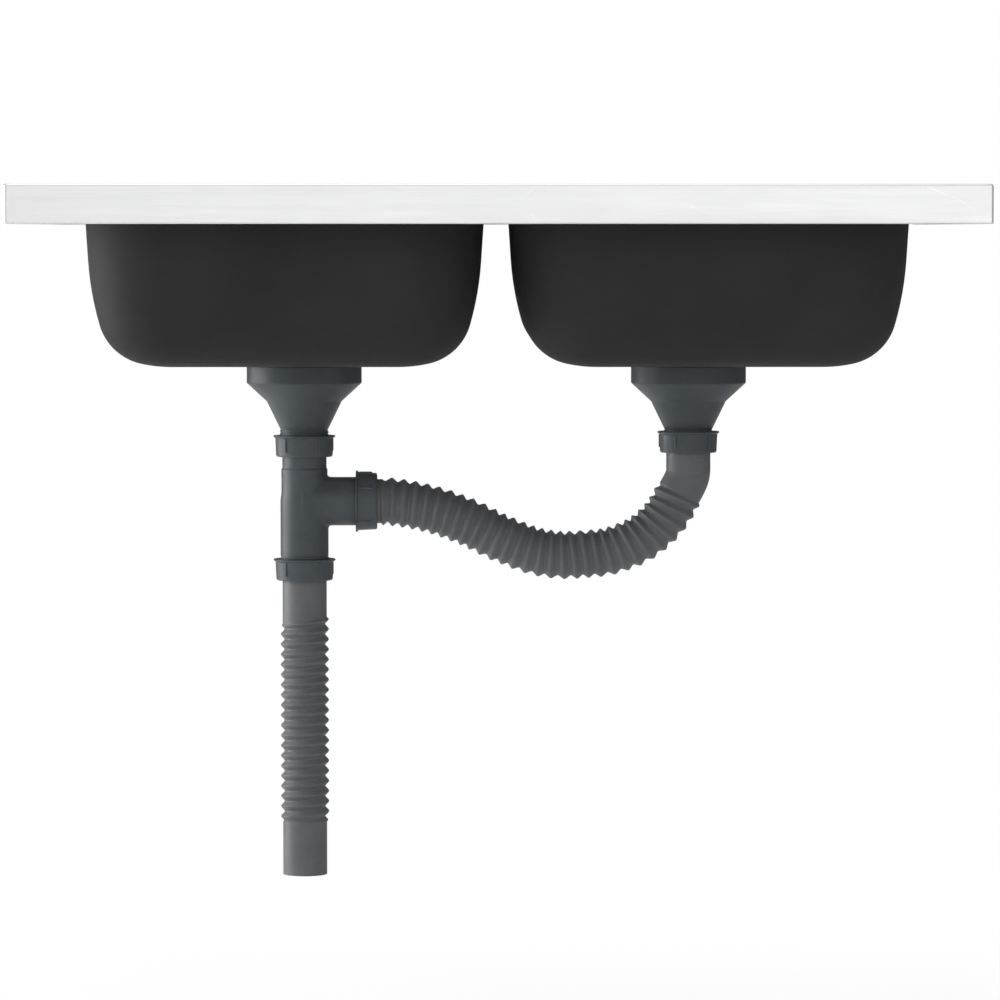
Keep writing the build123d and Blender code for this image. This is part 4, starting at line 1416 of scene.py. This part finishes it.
    def draw_boss(self, draft: Draft) -> None:
        """Draw the hollow boss for the clamp screw and the arms that hold it."""
        radius, height, top = self.boss
        base = top - height
        hole, deep = self.boss_hole
        draft.lathe(rounded([(0, base), (radius, base), (radius, top), (hole, top), (hole, top - deep),
                             (self.screw, top - deep), (self.screw, base + 2), (0, base + 2)],
                            [0, 1.0, 0.6, 0.2, 0, 0, 0, 0]), self.place, steps=64)
        ends = ((self.waist[0] - 3.6, self.arm / 2, base), (self.waist[0] + 7.4, self.arm / 2 * 0.8, top - 2))
        low_end, high_end = ([(radius - 1, -half, level), (reach, -half, level), (reach, half, level),
                              (radius - 1, half, level)] for reach, half, level in ends)
        for turn in range(self.arms):
            draft.block(low_end, high_end, self.place @ Matrix.Rotation(math.radians(90 * turn), 4, "Z"))


# ---- union nuts ----
@dataclass(frozen=True)
class UnionNut:
    """One union nut: flared lip, slightly tapered barrel with grip ribs, and a shoulder inside."""

    node: str
    body: Body
    turn: float  # degrees from the right, or from the top on the branch, to a rib
    height: float = 18.2
    lip_radius: float = 26.8
    lip: float = 2.2
    barrel: float = 25.0
    taper: float = 0.7
    bore: float = 20.1
    thread: float = 21.2
    shoulder: float = 3.0
    ribs: int = 5
    rib_width: float = 2.3
    rib_height: float = 1.2
    rib_root: float = 1.6  # of a rib, inside the barrel
    rib_end: float = 3.4

    @property
    def place(self) -> Matrix:
        """Where the nut's lip lies, with the nut drawn below it."""
        low, high = span(self.node)
        centre = (low + high) / 2
        if high.x - low.x < high.z - low.z:
            lip = high.x - self.height
            return Matrix.Translation((lip, centre.y, centre.z)) @ Matrix.Rotation(math.radians(-90), 4, "Y")
        return Matrix.Translation((centre.x, centre.y, high.z))

    def build(self) -> None:
        """Build the nut and seat it."""
        end = self.barrel - self.taper
        inside = self.shoulder - self.height
        corners = [(self.thread, 0), (self.lip_radius - 0.1, 0), (self.lip_radius - 0.3, -self.lip * 0.55),
                   (self.barrel, -self.lip), (end, 1.1 - self.height), (end - 0.8, -self.height),
                   (self.bore, -self.height), (self.bore, inside), (self.thread, inside)]
        rounds = [0.4, 0.5, 0.5, 0.5, 0.6, 0.4, 0.5, 0.3, 0]
        draft = Draft()
        draft.lathe(rounded(corners, rounds, closed=True), Matrix(), steps=160)
        nut = draft.finish(f"{self.node}_moulding", DRAIN_PLASTIC)
        depth = self.rib_height + self.rib_root
        length = self.height - self.lip / 2 - self.rib_end
        run(nut, RibRing, DRAIN_PLASTIC, sharp=50.0, Count=self.ribs,
            Radius=(self.barrel - self.taper / 2 + self.rib_height - depth / 2) * MM,
            Rib=Vector((depth, self.rib_width, length)) * MM, Chamfer=1.6 * MM,
            Turn=math.radians(self.turn), Height=-(self.lip + length) / 2 * MM)
        place = self.place
        place.translation *= MM
        nut.data.transform(place)
        hand_over(nut, self.body, self.node)


# ---- tee ----
@dataclass(frozen=True)
class Tee:
    """Waste tee: spigot up, threaded socket down, threaded branch to the right."""

    step_top: float = -209.0
    step: float = 8.0
    branch_level: float = -237.9
    spigot_radius: float = 19.0
    upper_radius: float = 19.8
    lower_radius: float = 20.65
    branch_radius: float = 20.85
    thread_shows: float = 2.4
    branch_run_in: float = 3.4  # of the pipe, within the branch nut's lip
    fillet: float = 4.5
    voxel: float = 0.9

    def build(self) -> None:
        """Build the tee and seat it."""
        low, high = span("tee_pipe")
        axis = Vector((-DRAIN_X, DRAIN_Y, self.branch_level))
        body_end = span("branch_nut")[0].x + self.branch_run_in - axis.x
        body_low = span("lower_nut")[1].z + self.thread_shows
        draft = Draft()
        draft.take(run(
            seed_mesh("tee_body"), TeeBody, DRAIN_PLASTIC, Centre=axis * MM, Step=self.step * MM,
            Upper_Radius=self.upper_radius * MM, Lower_Radius=self.lower_radius * MM,
            Branch_Radius=self.branch_radius * MM, Bore=BORE * MM, Top=(self.step_top - 6.0 - axis.z) * MM,
            Bottom=(body_low + 1.0 - axis.z) * MM, Reach=(body_end - 1.0) * MM,
            Fillet=self.fillet * MM, Voxel=self.voxel * MM))
        upright = Matrix.Translation((axis.x, axis.y, 0.0))
        over = self.upper_radius + 0.06
        top = self.step_top
        spigot = [(BORE, top - 9.0), (self.upper_radius - 0.1, top - 9.0), (over, top - 8.2),
                  (over, top - 1.5), (self.spigot_radius, top), (self.spigot_radius, high.z), (BORE, high.z)]
        draft.lathe(rounded(spigot, [0, 0, 0, 0.8, 0.8, 0.7, 0.3], closed=True), upright)
        self.draw_socket(draft, "lower", upright @ Matrix.Translation((0, 0, low.z)), body_low - low.z,
                         self.lower_radius)
        across = Matrix.Translation((high.x, axis.y, axis.z)) @ Matrix.Rotation(math.radians(-90), 4, "Y")
        self.draw_socket(draft, "branch", across, high.x - (axis.x + body_end), self.branch_radius)
        hand_over(draft.finish("tee_moulding", DRAIN_PLASTIC), Body.SINK, "tee_pipe")

    def draw_socket(self, draft: Draft, name: str, place: Matrix, length: float, shoulder: float) -> None:
        """Draw one threaded socket above its mouth.

        Args:
            draft: the drawing.
            name: names its thread.
            place: where its mouth lies, with the socket drawn above it.
            length: length of its thread.
            shoulder: radius of the pipe behind the thread.
        """
        behind = length + 1.6
        if behind < SOCKET_DEPTH:
            over = SOCKET_DEPTH + 0.6
            inside = [(SOCKET_RADIUS + 0.3, behind), (SOCKET_RADIUS + 0.3, over), (SOCKET_RADIUS, over)]
        else:
            inside = [(BORE, behind), (BORE, SOCKET_DEPTH), (SOCKET_RADIUS, SOCKET_DEPTH)]
        corners = [(THREAD.core, 0), (THREAD.core, length), (shoulder, length), (shoulder, behind), *inside,
                   (SOCKET_RADIUS, 2.4), (SOCKET_RADIUS + 0.6, 0)]
        draft.lathe(rounded(corners, [0.5, 0.2, 0.4, 0, 0, 0, 0.2, 0.3, 0.2], closed=True), place)
        THREAD.draw(draft, f"{name}_thread", place, length - 0.6, length - 1.4)


# ---- hoses ----
@dataclass(frozen=True)
class Hose:
    """A blow-moulded hose: one helical rib between plain cuffs of the pipe's size."""

    node: str
    pitch: float
    rib_start: float  # along the hose, from its first end
    rib_end: float
    first_crest: float  # the same, before the hose is stretched
    slant: float = 0.0
    stretch: float = 0.0  # share by which the pitch grows from the middle to the second end
    crest: float = 20.8
    valley: float = 17.6
    cuff: float = 19.0
    wall: float = 1.3
    run_in: float = 2.6
    sharp: float = 60.0  # degrees past which an edge stays sharp

    def line(self, curve: bpy.types.Curve) -> list[Point]:
        """Read the points of a curve's line, in metres, and remove the curve."""
        holder = link(curve.name, curve)
        evaluated = holder.evaluated_get(bpy.context.evaluated_depsgraph_get())
        data = bpy.data.meshes.new_from_object(evaluated)
        points = [tuple(vertex.co) for vertex in data.vertices]
        bpy.data.objects.remove(holder)
        bpy.data.meshes.remove(data)
        bpy.data.curves.remove(curve)
        return points

    def skin(self, points: list[Point]) -> bpy.types.Object:
        """Skin the hose along a line of points in metres, and return it."""
        edges = [(index, index + 1) for index in range(len(points) - 1)]
        length = sum((Vector(b) - Vector(a)).length for a, b in zip(points, points[1:]))
        hose = run(seed_mesh(f"{self.node}_skin", points, edges), RibbedHose, HOSE_PLASTIC, sharp=self.sharp,
                   Length=length, Pitch=self.pitch * MM, Rib_Start=self.rib_start * MM,
                   Rib_End=self.rib_end * MM, First_Crest=self.first_crest * MM, Crest=self.crest * MM,
                   Valley=self.valley * MM, Cuff=self.cuff * MM, Run_In=self.run_in * MM,
                   Slant=self.slant * MM, Stretch=self.stretch)
        self.face_out(hose.data, points)
        return wall(hose, self.wall, self.sharp)

    def face_out(self, data: bpy.types.Mesh, points: list[Point]) -> None:
        """Turn the skin's faces outwards, before it gets its wall."""
        face = data.polygons[len(data.polygons) // 2]
        nearest = min(points, key=lambda point: (Vector(point) - face.center).length)
        if face.normal.dot(face.center - Vector(nearest)) < 0:
            data.flip_normals()


@dataclass(frozen=True)
class OutletHose(Hose):
    """The hose that hangs from the tee, with its free end for the wall's waste pipe."""

    route: tuple[float, ...] = (-278.236, -330.0, -400.0, -470.0, -525.0, -560.1)  # levels

    def build(self) -> None:
        """Build the hose along its route."""
        curve = bpy.data.curves.new("outlet_route", "CURVE")
        curve.dimensions = "3D"
        spline = curve.splines.new("NURBS")
        spline.points.add(len(self.route) - 1)
        for point, level in zip(spline.points, self.route):
            point.co = (-DRAIN_X * MM, DRAIN_Y * MM, level * MM, 1.0)
        spline.order_u = 3
        spline.use_endpoint_u = True
        points = self.line(curve)
        hose = hand_over(self.skin(points), Body.SINK, self.node)


@dataclass(frozen=True)
class CrossoverHose(Hose):
    """The hose that sags from the tee's branch and turns up into the right strainer's neck."""

    start: float = -131.464  # of the hose, inside the branch
    branch_end: float = -99.0
    branch_level: float = -237.9
    cuff_end: float = -210.84
    sag: float = 46.6
    shape: tuple[tuple[float, float], ...] = (
        (0.13, -0.105), (0.265, -0.352), (0.40, -0.712), (0.53, -0.961), (0.655, -0.985),
        (0.78, -0.862), (0.89, -0.496), (0.97, 0.14))  # share of the way across, share of the sag

    def build(self) -> None:
        """Build the hose along its route."""
        top = span(self.node)[1].z
        across = DRAIN_X - self.branch_end
        stops = [(self.start, self.branch_level), (self.branch_end, self.branch_level)]
        stops += [(self.branch_end + share * across, self.branch_level + rise * self.sag)
                  for share, rise in self.shape]
        stops += [(DRAIN_X, self.cuff_end), (DRAIN_X, top)]
        curve = bpy.data.curves.new("crossover_route", "CURVE")
        curve.dimensions = "3D"
        curve.resolution_u = 24
        spline = curve.splines.new("BEZIER")
        spline.bezier_points.add(len(stops) - 1)
        for point, (x, z) in zip(spline.bezier_points, stops):
            point.co = (x * MM, DRAIN_Y * MM, z * MM)
            point.handle_left_type = point.handle_right_type = "AUTO"
        for index, along in ((1, Vector((1, 0, 0))), (len(stops) - 2, Vector((0, 0, 1)))):
            self.straighten(spline.bezier_points, index, along)
        hand_over(self.skin(self.line(curve)), Body.SINK, self.node)

    def straighten(self, points: bpy.types.SplineBezierPoints, index: int, along: Vector) -> None:
        """Point the line straight along at the end of a cuff.

        Args:
            points: points of the line.
            index: the point at the cuff's end.
            along: direction of the cuff.
        """
        point = points[index]
        before = (point.co - points[index - 1].co).length / 3
        after = (points[index + 1].co - point.co).length / 5
        point.handle_left_type = point.handle_right_type = "FREE"
        point.handle_left = point.co - along * before
        point.handle_right = point.co + along * after


# ---- studio ----
WHITE = (1.0, 1.0, 1.0, 1.0)


@dataclass(frozen=True)
class Lamp:
    """One soft area lamp, aimed at a point; places and size in metres."""

    name: str
    place: Point
    aim: Point
    size: float
    power: float
    mirrored: bool = True  # whether gloss shows it

    def build(self) -> None:
        """Hang the lamp, unseen by the camera."""
        data = bpy.data.lights.new(self.name, "AREA")
        data.shape = "DISK"
        data.size = self.size
        data.energy = self.power
        lamp = link(self.name, data)
        lamp.location = self.place
        lamp.rotation_euler = (Vector(self.aim) - Vector(self.place)).to_track_quat("-Z", "Y").to_euler()
        lamp.visible_camera = False
        lamp.visible_glossy = self.mirrored


@dataclass(frozen=True)
class FloorFinish(Finish):
    """Pale matt floor that keeps a shadow near the object and is white further out."""

    glow: float = 0.34  # to the camera
    white_from: float = 0.9  # metres from the middle
    white_past: float = 2.4

    def surface(self, nodes: Nodes) -> Signal:
        """Return the floor's shader."""
        where = nodes.out("ShaderNodeTexCoord", output="Object")
        x, y, _ = nodes.split(where)
        radius = nodes.length(nodes.combine(x, y, 0.0))
        far = nodes.ramp(radius, self.white_from, self.white_past, 0.0, 1.0, "SMOOTHSTEP")
        paint = nodes.tint(Mottle.place(nodes, where, 3.0, 0.3), self.shade(), self.shade(1.05))
        matt = nodes.out("ShaderNodeBsdfDiffuse", {"Color": paint})
        glow, white = (nodes.out("ShaderNodeEmission", {"Color": WHITE, "Strength": strength})
                       for strength in (self.glow, 1.0))
        near = nodes.out("ShaderNodeAddShader", {0: matt, 1: glow})
        camera = nodes.out("ShaderNodeLightPath", output="Is Camera Ray")
        seen = nodes.out("ShaderNodeMixShader", {0: far * camera, 1: near, 2: white})
        return nodes.out("ShaderNodeMixShader", {0: camera, 1: matt, 2: seen})


@dataclass(frozen=True)
class Studio:
    """Camera, soft lamps, pale world and white floor; places in metres."""

    camera_place: Point = (-0.030, -4.300, -0.0036)
    pitch: float = 3.14  # degrees below level
    yaw: float = 0.446  # degrees to the right
    focal: float = 178.22  # millimetres
    floor_level: float = -0.95
    floor_radii: tuple[float, ...] = (0.2, 1.5, 4.0, 7.0)
    floor_steps: int = 48
    ambient: float = 0.51
    ambient_fall: float = 0.6  # towards the right
    horizon: float = 0.08  # of the room that gloss shows
    zenith: float = 0.62
    panel: float = 1.12  # bright wall behind the camera, in gloss
    panel_rise: float = 0.7  # towards the right
    panel_most: float = 1.17
    lamps: tuple[Lamp, ...] = (
        Lamp("key", (-2.4, 0.35, 0.0), (0.0, 0.0, -0.15), 2.2, 57.0),
        Lamp("front", (0.9, -4.2, 1.0), (0.0, 0.0, -0.1), 2.2, 24.0, mirrored=False),
        Lamp("top", (-0.4, 0.3, 3.0), (0.0, 0.0, 0.0), 2.4, 16.0),
    )

    def build_camera(self) -> None:
        """Set the camera at the photograph's viewing angle."""
        data = bpy.data.cameras.new("camera")
        data.lens = self.focal
        data.sensor_width = 36.0
        data.clip_end = 60.0
        camera = link("camera", data)
        camera.location = self.camera_place
        camera.rotation_euler = (math.radians(90 - self.pitch), 0.0, math.radians(-self.yaw))
        bpy.context.scene.camera = camera

    def build_light(self) -> None:
        """Build the lamps, the world and the floor."""
        bpy.context.scene.view_settings.view_transform = "Standard"
        for lamp in self.lamps:
            lamp.build()
        self.build_world()
        self.build_floor()

    def build_world(self) -> None:
        """Build the pale world: white to the camera, darker overhead to gloss, soft ambient light."""
        world = bpy.data.worlds.new("studio")
        bpy.context.scene.world = world
        world.use_nodes = True
        world.node_tree.nodes.clear()
        nodes = Nodes(world.node_tree)
        camera, gloss, glass = (nodes.out("ShaderNodeLightPath", output=f"Is {ray} Ray")
                                for ray in ("Camera", "Glossy", "Transmission"))
        seen = nodes.math("MAXIMUM", nodes.math("MAXIMUM", camera, gloss), glass)
        x, y, z = nodes.split(nodes.out("ShaderNodeTexCoord", output="Generated"))
        room = nodes.ramp(z, 0.05, 0.8, self.horizon, self.zenith, "SMOOTHSTEP")
        lit = nodes.math("MINIMUM", x * self.panel_rise + self.panel, self.panel_most)
        level = nodes.ramp(z, 0.1, 0.6, 1.0, 0.25, "SMOOTHSTEP")
        behind = nodes.ramp(y, -0.75, 0.55, 1.0, 0.0, "SMOOTHSTEP") * level
        mirrored = nodes.math("MAXIMUM", room + behind * (lit - room), camera)
        soft = self.ambient - x * (self.ambient_fall * self.ambient)
        strength = nodes.out("ShaderNodeMix", {0: seen, 2: soft, 3: mirrored}, data_type="FLOAT")
        background = nodes.out("ShaderNodeBackground", {"Color": WHITE, "Strength": strength})
        nodes.add("ShaderNodeOutputWorld", {"Surface": background})

    def build_floor(self) -> None:
        """Build the floor: it takes the object's shadow, and runs out to white."""
        draft = Draft()
        rings = [circle(radius / MM, self.floor_level / MM, self.floor_steps) for radius in self.floor_radii]
        made = draft.skin(rings, closed=False)
        draft.mesh.faces.new(made[0])
        floor = draft.finish("floor", FloorFinish("pale floor", (0.8, 0.8, 0.8)))
        if floor.data.polygons[0].normal.z < 0:
            floor.data.flip_normals()


# ---- the whole sink ----
CARRIED: tuple[tuple[Finish, tuple[str, ...]], ...] = (
    (SEAL_RUBBER, ("left_flange_seal", "right_flange_seal", "left_body_gasket", "right_body_gasket",
                   "left_cone_seal", "right_cone_seal", "branch_cone_seal", "lower_cone_seal",
                   "left_basket_seal", "right_basket_seal")),
    (SCREW_STEEL, ("left_clamp_screw", "right_clamp_screw")),
    (INSERT_BRASS, ("left_thread_insert", "right_thread_insert")),
    (WASHER_PLASTIC, ("left_slip_washer", "right_slip_washer", "branch_slip_washer", "lower_slip_washer")),
)


def main() -> None:
    """Build the camera, the hoses, the sink and its light, and report each piece."""
    logging.basicConfig(level=logging.INFO, format="%(name)s: %(message)s")
    studio = Studio()
    studio.build_camera()
    OutletHose("outlet_hose", pitch=8.75, rib_start=61.9, rib_end=236.9, first_crest=70.0, slant=-3.2).build()
    CrossoverHose("crossover_hose", pitch=9.72, rib_start=31.6, rib_end=319.6, first_crest=31.2,
                  stretch=0.03).build()
    Deck().build()
    for side in ("left", "right"):
        Bowl(side).build()
    for side, body in (("left", Body.LEFT_BASKET), ("right", Body.RIGHT_BASKET)):
        Strainer(side, body).build()
    for body, turn in ((Body.LEFT_NUT, 16.0), (Body.RIGHT_NUT, 25.0), (Body.BRANCH_NUT, 12.0),
                       (Body.LOWER_NUT, 16.0)):
        UnionNut(body.value, body, turn).build()
    Tee().build()
    for finish, nodes in CARRIED:
        for node in nodes:
            carry(node, finish)
    studio.build_light()


if __name__ == "__main__":
    main()
